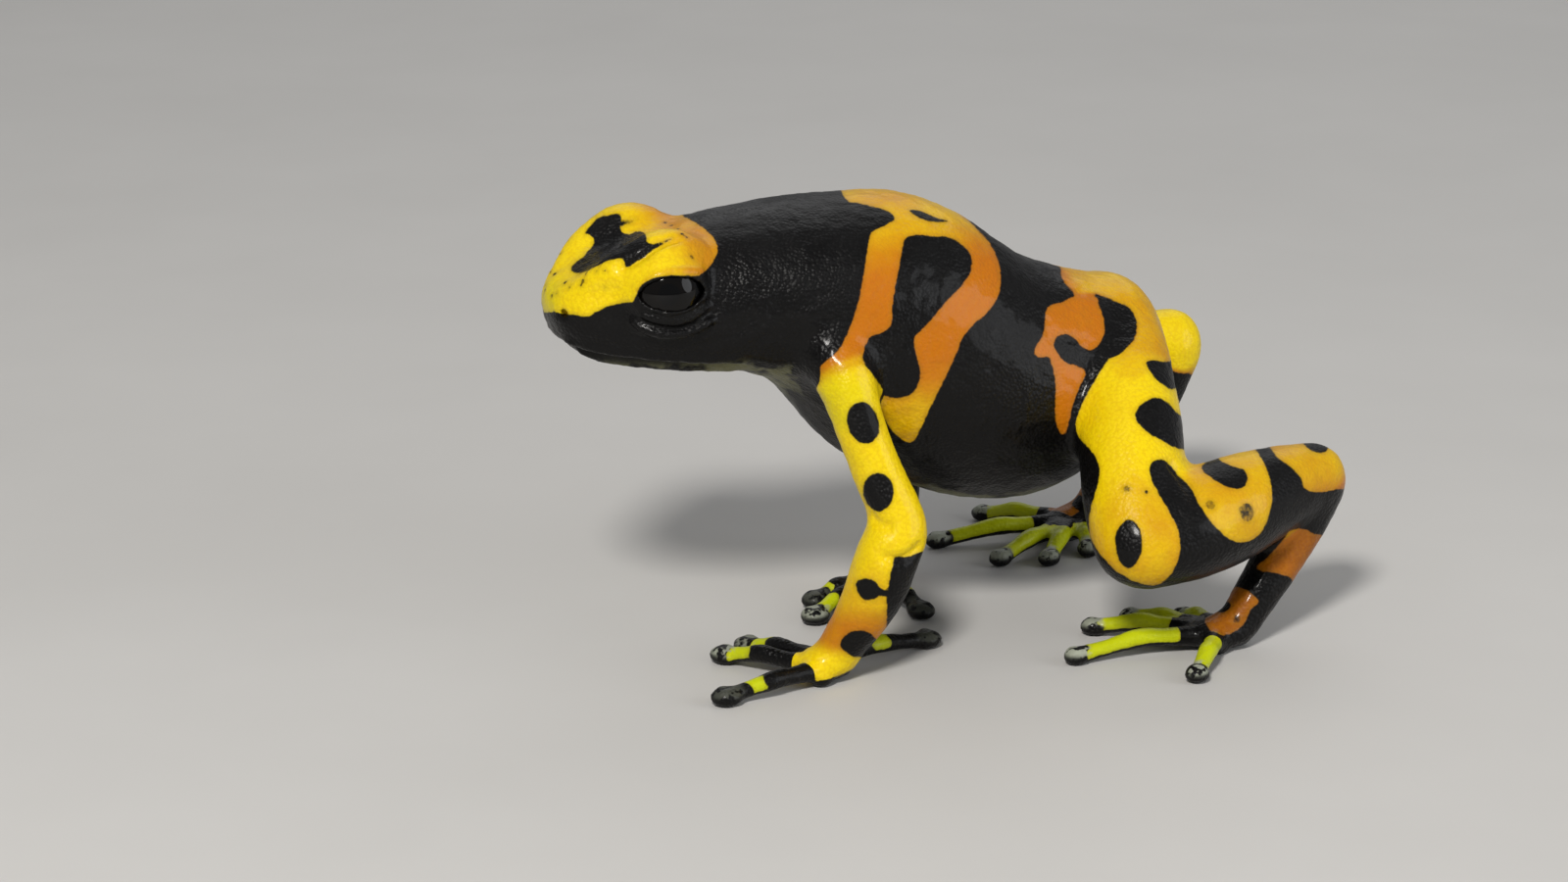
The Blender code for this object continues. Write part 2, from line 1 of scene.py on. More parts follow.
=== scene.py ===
# %% [markdown]
# # A yellow-banded poison frog, standing still
# The frog is about as long as a thumb joint. Its solids were cut from one melted body, node by node,
# so this lesson makes one finer skin over all of them, paints the bands on it and gives it wet, grainy skin.
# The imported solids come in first, because the skin has to sit exactly where they are.

# %% load the solids
import math

import bmesh
import bpy
import numpy as np
from mathutils import Matrix, Vector, noise
from mathutils.bvhtree import BVHTree


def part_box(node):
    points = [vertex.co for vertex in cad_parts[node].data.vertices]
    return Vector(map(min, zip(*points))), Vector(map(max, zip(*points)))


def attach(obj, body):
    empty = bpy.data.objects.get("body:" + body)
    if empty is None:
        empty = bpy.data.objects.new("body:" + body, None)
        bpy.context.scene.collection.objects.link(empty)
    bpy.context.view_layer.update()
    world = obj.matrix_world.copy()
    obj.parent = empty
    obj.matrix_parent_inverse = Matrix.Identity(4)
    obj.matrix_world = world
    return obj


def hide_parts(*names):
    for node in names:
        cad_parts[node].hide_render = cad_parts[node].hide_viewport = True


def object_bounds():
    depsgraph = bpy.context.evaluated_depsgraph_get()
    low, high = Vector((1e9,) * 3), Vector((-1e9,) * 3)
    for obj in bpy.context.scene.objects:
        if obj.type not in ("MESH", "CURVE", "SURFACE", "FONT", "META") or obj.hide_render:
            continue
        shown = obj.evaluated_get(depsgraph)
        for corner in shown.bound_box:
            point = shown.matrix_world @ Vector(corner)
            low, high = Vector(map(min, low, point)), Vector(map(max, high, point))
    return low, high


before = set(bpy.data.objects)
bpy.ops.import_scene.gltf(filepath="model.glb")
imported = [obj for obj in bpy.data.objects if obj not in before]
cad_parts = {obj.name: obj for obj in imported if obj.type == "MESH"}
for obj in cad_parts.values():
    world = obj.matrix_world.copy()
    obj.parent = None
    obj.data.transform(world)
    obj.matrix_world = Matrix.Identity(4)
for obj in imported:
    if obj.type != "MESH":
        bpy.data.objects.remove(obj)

MM = 0.001
cad_low, cad_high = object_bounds()


def box_sides(low, high):
    """Length, width and height of a box in millimetres."""
    return [round((b - a) / MM, 1) for a, b in zip(low, high)]


print("solids:", len(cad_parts), "box in mm:", box_sides(cad_low, cad_high))

# %% [markdown]
# ## A frog-sized frame of reference
# A frog is easiest to shape in millimetres, facing -X with its left side at -Y and the floor at 0.
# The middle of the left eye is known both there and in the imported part, so their difference is the shift
# between the two. Every finished mesh is moved by that shift and scaled to metres at the end.
# A place is written with its distance from the frog's middle, and is put on its left or on its right.

# %% frog millimetres
EYE_AT = (-19.25, 3.6, 21.57)


def sided(point, side):
    """The point on the left (-1) or the right (+1)."""
    return (point[0], side * point[1], *point[2:])


eye_low, eye_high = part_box("eye_left")
SHIFT = np.array((eye_low + eye_high) / 2) / MM - np.array(sided(EYE_AT, -1))
print("shift in mm:", SHIFT.round(3))

# %% [markdown]
# ## The photographer's place
# A long lens sees the frog from its left, twenty degrees round towards its nose and seventeen degrees up.
# Keeping that view as plain vectors lets later cells ask where a spot of the frog lies in the picture,
# and the other way round, which is how the bands are laid out.

# %% line of sight
LOOK_ROUND = math.radians(-20.0)
LOOK_DOWN = math.radians(17.0)
LENS = 100.0
SENSOR_WIDTH = 36.0
PICTURE = (1600, 900)
PIXELS_PER_MM = 18.0
# where the frog's own origin, on the floor under its trunk, lies in the picture
ORIGIN_SEEN = (990.0, 623.0)

focal = PICTURE[0] * LENS / SENSOR_WIDTH
middle_u, middle_v = PICTURE[0] / 2, PICTURE[1] / 2
right = np.array([math.cos(LOOK_ROUND), math.sin(LOOK_ROUND), 0.0])
level = np.array([-math.sin(LOOK_ROUND), math.cos(LOOK_ROUND), 0.0])
look = level * math.cos(LOOK_DOWN) - np.array([0.0, 0.0, math.sin(LOOK_DOWN)])
up = np.cross(right, look)


def sight(u, v):
    """The direction of sight through a picture point."""
    return look + right * (u - middle_u) / focal + up * (middle_v - v) / focal


viewpoint = -focal / PIXELS_PER_MM * sight(*ORIGIN_SEEN)
print("camera in mm:", viewpoint.round(1))

# %% the camera
camera = bpy.data.cameras.new("photo_view")
camera.lens = LENS
camera.clip_start = 0.005
camera_object = bpy.data.objects.new("photo_view", camera)
bpy.context.scene.collection.objects.link(camera_object)
camera_object.location = Vector((viewpoint + SHIFT) * MM)
camera_object.rotation_euler = Matrix((right, up, -look)).transposed().to_euler()
bpy.context.scene.camera = camera_object


def pixels_of(points):
    """Where points of the frog lie in the picture."""
    away = points - viewpoint
    depth = away @ look
    u, v = middle_u + focal * (away @ right) / depth, middle_v - focal * (away @ up) / depth
    return np.column_stack([u, v])


print("the middle of the left eye is seen at:", pixels_of(np.array([sided(EYE_AT, -1)])).round(1))

# %% [markdown]
# ## Smooth runs
# Limbs, digits, ridges and the outlines of the bands are all smooth lines through a few places on the frog.
# Bezier curves could draw them, with two handles for each place. A Catmull-Rom spline needs none and runs
# through its own points, so the numbers below are the places themselves.

# %% curve helpers
def catmull(points, steps, ring=False):
    """A smooth run through the points, as an open line or as a ring."""
    given = np.array(points, float)
    if ring:
        padded = np.vstack([given[-1], given, given[:2]])
    else:
        padded = np.vstack([2 * given[0] - given[1], given, 2 * given[-1] - given[-2]])
    run = []
    for i in range(1, len(padded) - 2):
        a, b, c, d = padded[i - 1 : i + 3]
        for t in np.linspace(0, 1, steps, endpoint=False):
            squares, cubes = 2 * a - 5 * b + 4 * c - d, 3 * b - a - 3 * c + d
            run.append(0.5 * (2 * b + (c - a) * t + squares * t**2 + cubes * t**3))
    if not ring:
        run.append(given[-1])
    return np.array(run)


def ease(value, low, high):
    """0 below low, 1 above high, and a smooth step between."""
    t = np.clip((np.asarray(value, float) - low) / (high - low), 0, 1)
    return t * t * (3 - 2 * t)


def sided_run(run, side):
    return [sided(p, side) for p in run]


print("a smooth bend:", catmull([(0, 0), (1, 1), (2, 0)], 2).round(2).tolist())

# %% [markdown]
# ## Tubes and balls
# Muscle, bone and swellings all start as tubes of changing thickness and stretched balls that overlap freely.
# A curve object with a bevel makes a tube from its stations alone, where a mesh would need each ring by hand.

# %% mesh helpers
def shown(name, data):
    made = bpy.data.objects.new(name, data)
    bpy.context.scene.collection.objects.link(made)
    return made


def shaped(obj, name):
    """The object's shape with its modifiers applied, and the object removed."""
    bpy.context.view_layer.update()
    mesh = bpy.data.meshes.new_from_object(obj.evaluated_get(bpy.context.evaluated_depsgraph_get()))
    mesh.name = name
    bpy.data.objects.remove(obj, do_unlink=True)
    return mesh


def kept(bm, name):
    """The working mesh as a mesh with a name."""
    mesh = bpy.data.meshes.new(name)
    bm.to_mesh(mesh)
    bm.free()
    return mesh


def mesh_of(name, *builders):
    bm = bmesh.new()
    for builder in builders:
        builder(bm)
    bmesh.ops.recalc_face_normals(bm, faces=bm.faces)
    return kept(bm, name)


# %% balls and tubes
def turned(degrees, axis="Z"):
    return Matrix.Rotation(math.radians(degrees), 3, axis)


def ball(bm, centre, radii, turn=turned(0), detail=4):
    place = Matrix.Translation(centre) @ turn.to_4x4() @ Matrix.Diagonal((*radii, 1.0))
    bmesh.ops.create_icosphere(bm, subdivisions=detail, radius=1.0, matrix=place)


def tube(bm, stations, steps=6):
    """A round tube through stations of x, y, z and radius, with a ball on each end."""
    curve = bpy.data.curves.new("tube", "CURVE")
    curve.dimensions = "3D"
    curve.bevel_depth = 1.0
    curve.bevel_resolution = 8
    curve.use_fill_caps = True
    run = catmull(stations, steps)
    spline = curve.splines.new("POLY")
    spline.points.add(len(run) - 1)
    for point, (x, y, z, radius) in zip(spline.points, run):
        point.co = (x, y, z, 1.0)
        point.radius = radius
    bm.from_mesh(shaped(shown("tube", curve), "tube"))
    for x, y, z, radius in (run[0], run[-1]):
        ball(bm, (x, y, z), (radius,) * 3, detail=3)


# %% [markdown]
# ## The trunk
# The frog sits nose up, so the ribs of its trunk lean. Each has a top, a bottom and half a width, and a loft
# joins them to one closed shell. A sculpted block would do too, but a rib can be set to the millimetre.

# %% ribs
RIB_POINTS = 64


def rounded(angle, squareness):
    """Cosine and sine of a superellipse, which is a circle at 2 and nearer to a box above it."""
    c, s = math.cos(angle), math.sin(angle)
    return math.copysign(abs(c) ** (2 / squareness), c), math.copysign(abs(s) ** (2 / squareness), s)


def rib(centre, rise, drop, half, squareness):
    """A closed rib that reaches rise above its centre, drop below it and half its width to each side."""
    ring = []
    for k in range(RIB_POINTS):
        c, s = rounded(2 * math.pi * k / RIB_POINTS, squareness)
        ring.append(centre + (rise if s > 0 else drop) * s + Vector((0, half * c, 0)))
    return ring


def loft(bm, rings):
    """A closed shell through rings of the same count."""
    loops = [[bm.verts.new(p) for p in ring] for ring in rings]
    count = len(loops[0])
    for low, high in zip(loops, loops[1:]):
        for i in range(count):
            j = (i + 1) % count
            bm.faces.new((low[i], low[j], high[j], high[i]))
    bm.faces.new(loops[0][::-1])
    bm.faces.new(loops[-1])


print("points on each rib:", RIB_POINTS)

# %% trunk
# top x and z, bottom x and z, half width
TRUNK_RIBS = (
    (-16.2, 23.2, -15.8, 17.6, 4.4), (-14.6, 24.3, -14.2, 16.4, 5.3), (-12.3, 24.8, -12.9, 15.5, 5.9),
    (-8.4, 24.9, -11.3, 14.0, 6.4), (-4.4, 24.7, -8.8, 11.0, 6.8), (-0.9, 23.2, -5.4, 8.8, 7.05),
    (2.7, 20.6, -1.5, 7.3, 6.95), (6.6, 19.2, 2.8, 7.1, 6.3), (9.2, 18.8, 6.7, 8.9, 5.1),
    (10.5, 17.2, 9.2, 10.6, 3.7), (11.2, 15.2, 10.8, 12.4, 1.9),
)
TRUNK_SQUARENESS = 2.15
# how far down its rib the trunk is widest
WAIST = 0.54


def trunk(bm):
    rings = []
    for top_x, top_z, low_x, low_z, half in catmull(TRUNK_RIBS, 4):
        top, low = Vector((top_x, 0, top_z)), Vector((low_x, 0, low_z))
        waist = top.lerp(low, WAIST)
        rings.append(rib(waist, top - waist, waist - low, half, TRUNK_SQUARENESS))
    loft(bm, rings)


print("trunk length in mm:", round(TRUNK_RIBS[-1][0] - TRUNK_RIBS[0][0], 1))

# %% [markdown]
# ## The head
# The head is a wedge that is flat on top and blunt in front, with a swollen brow over each eye. A stretched
# ball would give its bulk but not its flat crown, so it is lofted too, through upright ribs that are boxier
# than the trunk's. Each brow is two balls with a ridge on top.

# %% head
# x, height of the widest line, rise above it, drop below it, half width
HEAD_RIBS = (
    (-24.85, 20.35, 0.5, 0.5, 0.8), (-24.65, 20.25, 0.95, 1.05, 1.65), (-24.2, 20.1, 1.45, 1.75, 2.35),
    (-23.2, 19.9, 2.2, 2.3, 3.15), (-22.1, 19.7, 2.95, 2.45, 3.85), (-21.0, 19.55, 3.5, 2.55, 4.3),
    (-19.6, 19.4, 4.0, 2.65, 4.75), (-18.0, 19.3, 4.5, 2.8, 5.1), (-16.4, 19.3, 4.85, 2.95, 5.4),
    (-14.8, 19.3, 5.15, 3.2, 5.6), (-13.0, 19.2, 5.35, 3.7, 5.7), (-11.0, 19.0, 5.5, 4.2, 5.6),
)
HEAD_SQUARENESS = 2.4
BROW_BALLS = (((-19.1, 3.1, 22.2), (2.9, 2.15, 2.55)), ((-19.1, 3.7, 20.6), (2.5, 1.6, 1.9)))
BROW_TILT, BROW_TURN = -4, -6
BROW_LINE = (
    (-23.6, 1.6, 21.1, 0.75), (-22.5, 2.35, 21.95, 1.0), (-21.2, 2.95, 22.7, 1.2), (-19.9, 3.2, 23.15, 1.3),
)


def head(bm):
    rings = []
    for x, middle, rise, drop, half in catmull(HEAD_RIBS, 4):
        above, below = Vector((0, 0, rise)), Vector((0, 0, drop))
        rings.append(rib(Vector((x, 0, middle)), above, below, half, HEAD_SQUARENESS))
    loft(bm, rings)


def brows(bm):
    for side in (-1, 1):
        for centre, radii in BROW_BALLS:
            ball(bm, sided(centre, side), radii, turned(BROW_TILT, "Y") @ turned(side * BROW_TURN))
        tube(bm, sided_run(BROW_LINE, side))


print("head width in mm:", 2 * max(half for *_, half in HEAD_RIBS))

# %% [markdown]
# ## Limbs
# Each limb is a chain of stations: place and thickness, from the body out to the wrist or the ankle.
# One tube could run down a whole hind leg, but it would pinch where the leg is folded so sharply, so thigh,
# shank and tarsus are three runs that meet at the knee and at the heel. Palms and soles are flattened
# balls, turned the way the fingers and toes point.

# %% limbs
LEFT_ARM = (
    (-10.6, 4.2, 18.2, 2.2), (-10.1, 6.3, 16.6, 1.75), (-9.7, 7.3, 14.4, 1.45), (-8.8, 8.2, 11.4, 1.45),
    (-7.9, 9.0, 8.7, 1.6), (-8.6, 9.15, 7.3, 1.8), (-9.2, 9.0, 5.4, 1.75), (-10.1, 8.6, 3.4, 1.5),
    (-10.8, 8.2, 2.2, 1.35),
)
RIGHT_ARM = (
    (-10.6, 4.2, 18.2, 2.2), (-9.7, 6.4, 16.6, 1.75), (-7.2, 7.7, 13.9, 1.45), (-4.4, 8.3, 10.6, 1.45),
    (-2.5, 8.1, 7.9, 1.6), (-2.0, 7.6, 6.6, 1.75), (-2.2, 6.5, 4.7, 1.6), (-2.9, 5.3, 2.9, 1.35),
    (-3.3, 4.8, 2.1, 1.3),
)
LEFT_THIGH = (
    (7.8, 3.0, 15.1, 2.6), (6.9, 5.2, 13.7, 2.85), (6.1, 7.9, 11.7, 2.95), (5.1, 10.4, 9.4, 2.8),
    (4.6, 12.3, 7.4, 2.5),
)
LEFT_SHANK = (
    (4.9, 12.7, 7.2, 2.4), (7.6, 12.1, 7.7, 2.85), (10.6, 11.1, 8.2, 2.95), (13.8, 9.9, 8.6, 2.5),
    (16.8, 8.8, 8.8, 1.95),
)
LEFT_TARSUS = (
    (16.9, 8.8, 8.3, 1.85), (15.7, 9.3, 6.2, 1.6), (13.9, 9.9, 4.0, 1.45), (12.2, 10.4, 2.0, 1.3),
)
RIGHT_THIGH = (
    (7.8, 3.0, 15.1, 2.6), (7.3, 5.2, 14.0, 2.85), (6.7, 7.9, 12.4, 2.95), (5.6, 10.4, 10.7, 2.8),
    (4.9, 12.4, 9.2, 2.5),
)
RIGHT_SHANK = (
    (5.2, 12.8, 8.9, 2.4), (7.9, 12.6, 9.3, 2.75), (10.8, 12.0, 9.9, 2.75), (14.0, 11.2, 10.8, 2.35),
    (16.9, 10.4, 11.6, 1.95),
)
RIGHT_TARSUS = (
    (17.0, 10.2, 11.2, 1.85), (16.0, 10.3, 8.3, 1.6), (14.3, 10.4, 5.0, 1.45), (12.4, 10.4, 2.1, 1.3),
)
LIMBS = {
    -1: (LEFT_ARM, LEFT_THIGH, LEFT_SHANK, LEFT_TARSUS),
    1: (RIGHT_ARM, RIGHT_THIGH, RIGHT_SHANK, RIGHT_TARSUS),
}
print("thickest limb in mm:", 2 * max(p[3] for run in LIMBS[-1] for p in run))

# %% palms and soles
# side, centre, half sizes and turn about Z
PADS = (
    (-1, (-11.7, 7.8, 0.95), (2.0, 1.55, 1.0), 12.0),
    (1, (-4.2, 4.1, 0.95), (1.9, 1.5, 1.0), 35.0),
    (-1, (10.8, 10.5, 0.95), (2.2, 1.5, 1.0), 5.0),
    (1, (11.0, 10.5, 0.95), (2.2, 1.5, 1.0), -5.0),
)


def limbs(bm):
    for side, runs in LIMBS.items():
        for run in runs:
            tube(bm, sided_run(run, side))
    for side, centre, radii, turn in PADS:
        ball(bm, sided(centre, side), radii, turned(-side * turn))


print("palms and soles:", len(PADS))

# %% [markdown]
# ## Fingers and toes
# The frog has four fingers and five toes, thin as wire, with a swelling at the joint and a sticky disc on the
# tip. Two small scales lie on each disc, and each palm and sole has three soft pads underneath. There is no
# web between the toes, so each digit is a tube of its own and no sheet has to be stretched between them.

# %% finger and toe joints
FINGER_RADIUS = 0.5
TOE_RADIUS = 0.52
FINGER_DISC = (0.95, 0.85, 0.5)
TOE_DISC = (0.8, 0.7, 0.5)

# knuckle, middle joint and tip of each digit, from the outer one inwards
LEFT_FINGERS = (
    ((-12.6, 8.6, 0.9), (-15.3, 9.4, 0.95), (-18.0, 9.7, 0.45)),
    ((-12.8, 7.5, 0.9), (-14.5, 5.5, 1.05), (-15.9, 3.4, 0.45)),
    ((-11.9, 6.7, 0.9), (-13.2, 4.5, 1.0), (-14.2, 2.4, 0.45)),
    ((-10.8, 7.0, 0.9), (-7.9, 5.9, 0.95), (-4.6, 4.8, 0.45)),
)
RIGHT_FINGERS = (
    ((-5.3, 4.2, 0.9), (-6.6, 3.9, 1.0), (-8.0, 3.5, 0.45)),
    ((-5.2, 3.5, 0.9), (-7.1, 2.2, 1.0), (-9.0, 1.0, 0.45)),
    ((-4.9, 2.9, 0.9), (-6.1, 1.3, 1.0), (-7.3, -0.2, 0.45)),
    ((-3.7, 3.1, 0.9), (-3.4, 1.4, 0.95), (-3.1, -0.2, 0.45)),
)
LEFT_TOES = (
    ((9.4, 10.4, 0.85), (5.9, 10.1, 1.0), (2.1, 10.2, 0.45)),
    ((9.9, 11.4, 0.85), (8.5, 13.3, 0.95), (7.1, 15.0, 0.45)),
    ((9.3, 9.4, 0.85), (7.1, 7.6, 1.0), (4.9, 6.1, 0.45)),
    ((9.8, 9.0, 0.85), (8.7, 7.1, 0.95), (7.6, 5.3, 0.45)),
    ((10.8, 9.1, 0.85), (10.6, 7.5, 0.9), (10.4, 6.2, 0.45)),
)
RIGHT_TOES = (
    ((9.6, 10.6, 0.85), (6.2, 10.9, 1.0), (2.5, 11.1, 0.45)),
    ((10.1, 11.6, 0.85), (8.5, 13.4, 0.95), (7.0, 15.0, 0.45)),
    ((9.5, 9.6, 0.85), (7.1, 8.1, 1.0), (4.7, 6.8, 0.45)),
    ((10.0, 9.2, 0.85), (8.7, 7.5, 0.95), (7.4, 5.9, 0.45)),
    ((11.0, 9.3, 0.85), (10.6, 7.8, 0.9), (10.2, 6.6, 0.45)),
)
DIGITS = (
    (-1, LEFT_FINGERS, FINGER_RADIUS, FINGER_DISC),
    (1, RIGHT_FINGERS, FINGER_RADIUS, FINGER_DISC),
    (-1, LEFT_TOES, TOE_RADIUS, TOE_DISC),
    (1, RIGHT_TOES, TOE_RADIUS, TOE_DISC),
)
print("digits:", sum(len(hand) for _, hand, _, _ in DIGITS))

# %% digits
# half sizes of a scale, how far forward it lies, and its place across and up as shares of the disc
SCALE_SIZE = (0.42, 0.27, 0.2)
SCALE_FORWARD, SCALE_ACROSS, SCALE_UP = 0.12, 0.384, 0.72
# places of the soft pads, as shares of a palm's half sizes, then their height and half sizes
TUBERCLES = ((0.45, 0.0), (-0.35, 0.5), (-0.35, -0.5))
TUBERCLE_HEIGHT = 0.45
TUBERCLE_SIZE = (0.7, 0.6, 0.5)


def digits(bm):
    for side, hand, radius, disc in DIGITS:
        for joints in hand:
            knuckle, bend, tip = (Vector(p) for p in sided_run(joints, side))
            # thicker at the knuckle and at the joint than between them
            stations = (
                (*knuckle, radius * 1.25), (*knuckle.lerp(bend, 0.55), radius), (*bend, radius * 1.08),
                (*bend.lerp(tip, 0.5), radius * 0.92), (*tip.lerp(bend, 0.08), radius * 0.95),
            )
            tube(bm, stations, steps=5)
            heading = (tip - bend).to_2d()
            turn = turned(math.degrees(math.atan2(heading.y, heading.x)))
            ball(bm, tip, disc, turn)
            for across in (-SCALE_ACROSS, SCALE_ACROSS):
                at = tip + turn @ Vector((SCALE_FORWARD, across * disc[1], disc[2] * SCALE_UP))
                ball(bm, at, SCALE_SIZE, turn, detail=3)


def tubercles(bm):
    for side, centre, radii, turn in PADS:
        spin = turned(-side * turn)
        for along, across in TUBERCLES:
            at = Vector(sided(centre, side)) + spin @ Vector((radii[0] * along, radii[1] * across, 0))
            ball(bm, (at.x, at.y, TUBERCLE_HEIGHT), TUBERCLE_SIZE, spin)


print("soft pads:", len(PADS) * len(TUBERCLES))

# %% [markdown]
# ## Lids and lips
# The eye is held by a thin shell of lid, and the mouth is a long line with a soft lip on each side of it.
# They are added after the first melting, because it would wash such thin shapes away.

# %% lids and lips
EYE_SOCKET = 2.14
LID_THICK = 0.34
LIP_LINE = (
    (-27.0, 18.9), (-25.2, 18.75), (-24.3, 18.25), (-23.0, 17.95), (-21.5, 17.75), (-19.5, 17.5),
    (-17.6, 17.3), (-14.3, 17.05),
)
LOWER_LID = (
    (-21.4, 4.6, 20.2, 0.22), (-20.3, 5.15, 19.6, 0.3), (-18.9, 5.4, 19.5, 0.3), (-17.4, 5.4, 20.1, 0.22),
)
# lift from the lip line, thickness, and how far it stands out of the head
LIP_RIDGES = ((0.36, 0.3, 0.1), (-0.36, 0.26, 0.12))
LIP_FRONT, LIP_BACK = -23.9, -15.4


def head_width_at(x, z):
    """Half the width of the head, at a place along it and a height."""
    columns = np.array(HEAD_RIBS).T
    middle, rise, drop, half = (float(np.interp(x, columns[0], column)) for column in columns[1:])
    high = min(abs(z - middle) / (rise if z > middle else drop), 1.0)
    return half * (1 - high**HEAD_SQUARENESS) ** (1 / HEAD_SQUARENESS)


def height_on(line, x):
    return float(np.interp(x, *zip(*line)))


def lids(bm):
    for side in (-1, 1):
        ball(bm, sided(EYE_AT, side), (EYE_SOCKET + LID_THICK,) * 3)
        tube(bm, sided_run(LOWER_LID, side))


def lips(bm):
    chins = [(x, middle - drop) for x, middle, _, drop, _ in HEAD_RIBS]
    for side in (-1, 1):
        for lift, radius, proud in LIP_RIDGES:
            run = []
            for x in np.linspace(LIP_FRONT, LIP_BACK, 9):
                z = max(height_on(LIP_LINE, x) + lift, height_on(chins, x) + radius)
                full = float(ease(x, -24.4, -22.5) * ease(x, -15.0, -17.0))
                run.append((x, side * (head_width_at(x, z) - radius + proud * full), z, radius))
            tube(bm, run, steps=4)


print("lip line from x", LIP_LINE[1][0], "to", LIP_LINE[-1][0])

# %% [markdown]
# ## Melting it into one skin
# A voxel remesh wraps one skin round all the overlapping shapes, and a smoothing pass lets them flow together
# as muscle under skin does. Sculpting by hand would do the same, but this gives the same frog each time.

# %% melt
BODY_VOXEL, BODY_ROUNDS = 0.3, 26
DETAIL_VOXEL, DETAIL_ROUNDS = 0.16, 5


def melted(name, mesh, voxel, rounds):
    """One skin round all of a mesh, then softened."""
    holder = shown(name, mesh)
    wrap = holder.modifiers.new("wrap", "REMESH")
    wrap.mode = "VOXEL"
    wrap.voxel_size = voxel
    soften = holder.modifiers.new("soften", "SMOOTH")
    soften.factor = 0.5
    soften.iterations = rounds
    return shaped(holder, name)


def joined(name, *meshes):
    bm = bmesh.new()
    for mesh in meshes:
        bm.from_mesh(mesh)
    return kept(bm, name)


body = melted("body", mesh_of("rough", trunk, limbs, head, brows), BODY_VOXEL, BODY_ROUNDS)
details = mesh_of("details", digits, tubercles, lids, lips)
whole = melted("whole", joined("with_details", body, details), DETAIL_VOXEL, DETAIL_ROUNDS)
print("soft skin:", len(whole.vertices), "points")

# %% [markdown]
# ## Eye openings and nostrils
# The eye sits in a round socket behind an almond-shaped opening, and the nostril is a small slanted pit.
# Boolean cuts make all three. They come before the last, finest remesh, so that their edges come out soft.

# %% eye openings and nostrils
OPENING_LONG, OPENING_TALL = 1.8, 0.94
OPENING_SQUARENESS = 1.8
OPENING_POINTS = 40
OPENING_FROM, OPENING_TO = 1.0, 4.0
NOSTRIL_AT = (-24.3, 1.75, 20.2)
NOSTRIL_SIZE = (0.286, 0.9, 0.22)
NOSTRIL_TURN = 35


def sockets(bm):
    for side in (-1, 1):
        ball(bm, sided(EYE_AT, side), (EYE_SOCKET,) * 3, detail=5)


def openings(bm):
    for side in (-1, 1):
        outward = Vector((-0.12, side * 1.0, 0.12)).normalized()
        along = Vector((1.0, side * 0.12, -0.02)).normalized()
        rise = outward.cross(along).normalized()
        rise = rise if rise.z > 0 else -rise
        edge = []
        for k in range(OPENING_POINTS):
            c, s = rounded(2 * math.pi * k / OPENING_POINTS, OPENING_SQUARENESS)
            edge.append(Vector(sided(EYE_AT, side)) + along * (OPENING_LONG * c) + rise * (OPENING_TALL * s))
        loft(bm, [[p + outward * depth for p in edge] for depth in (OPENING_FROM, OPENING_TO)])


def nostrils(bm):
    for side in (-1, 1):
        ball(bm, sided(NOSTRIL_AT, side), NOSTRIL_SIZE, turned(side * NOSTRIL_TURN))


for builder in (sockets, openings, nostrils):
    cutter = shown(builder.__name__, mesh_of(builder.__name__, builder))
    holder = shown("cutting", whole)
    cut = holder.modifiers.new("cut", "BOOLEAN")
    cut.operation = "DIFFERENCE"
    cut.solver = "EXACT"
    cut.object = cutter
    whole = shaped(holder, "whole")
    bpy.data.objects.remove(cutter, do_unlink=True)
print("points after the cuts:", len(whole.vertices))

# %% fine skin
FINE_VOXEL, FINE_ROUNDS = 0.15, 2


def read(items, what, width, kind=float):
    """One row of numbers for each item of a mesh."""
    values = np.empty(len(items) * width, kind)
    items.foreach_get(what, values)
    return values.reshape(-1, width)


skin_mesh = melted("frog_skin", whole, FINE_VOXEL, FINE_ROUNDS)
points = read(skin_mesh.vertices, "co", 3)
edges = read(skin_mesh.edges, "vertices", 2, np.int64)
skin_faces = [list(face.vertices) for face in skin_mesh.polygons]
print("fine skin:", len(points), "points,", len(skin_faces), "faces")

# %% [markdown]
# ## Normals that ignore the small stuff
# Pressing a fold into the skin, or asking which way a patch of flank faces, needs the direction of the big
# form and not of each bump. Averaging each normal with its neighbours' gives that: a few rounds are enough
# for the folds, and a few dozen for the flank.

# %% broad normals
def averaged(values, rounds):
    """Each point's value averaged with its neighbours', several times over."""
    count = np.bincount(edges.ravel(), minlength=len(values)).astype(float)[:, None]
    for _ in range(rounds):
        total = np.column_stack([
            np.bincount(edges[:, 0], weights=values[edges[:, 1], k], minlength=len(values))
            + np.bincount(edges[:, 1], weights=values[edges[:, 0], k], minlength=len(values))
            for k in range(values.shape[1])
        ])
        values = 0.5 * values + 0.5 * total / count
    return values


def unit(vectors):
    return vectors / np.maximum(np.linalg.norm(vectors, axis=-1, keepdims=True), 1e-9)


fine_normals = read(skin_mesh.vertex_normals, "vector", 3, np.float32).astype(float)
near_normals = unit(averaged(fine_normals, 4))
broad_normals = unit(averaged(fine_normals, 30))
turns = np.degrees(np.arccos(np.clip((broad_normals * fine_normals).sum(axis=1), -1, 1)))
print("broad normals turn by up to", round(float(turns.max())), "degrees")

# %% [markdown]
# ## Folds and creases
# The folds under the eye, the groove beside the brow and the creases of elbow and knee are in the skin.
# Each is a short line of picture points, cast onto the left side of the skin and mirrored to the right.
# A pressed line follows the surface for free, where cutters would leave hard walls.

# %% places and distances
skin_tree = BVHTree.FromPolygons([Vector(p) for p in points], skin_faces)


def on_skin(u, v):
    """The point of the skin seen at a picture point."""
    hit, *_ = skin_tree.ray_cast(Vector(viewpoint), Vector(sight(u, v)).normalized())
    if hit is None:
        raise ValueError(f"no skin is seen at {u}, {v}")
    return np.array(hit)


def on_side(place, side):
    """A place on the left of the frog, as it is (-1) or mirrored to the right (+1)."""
    return place * np.array([1, -side, 1])


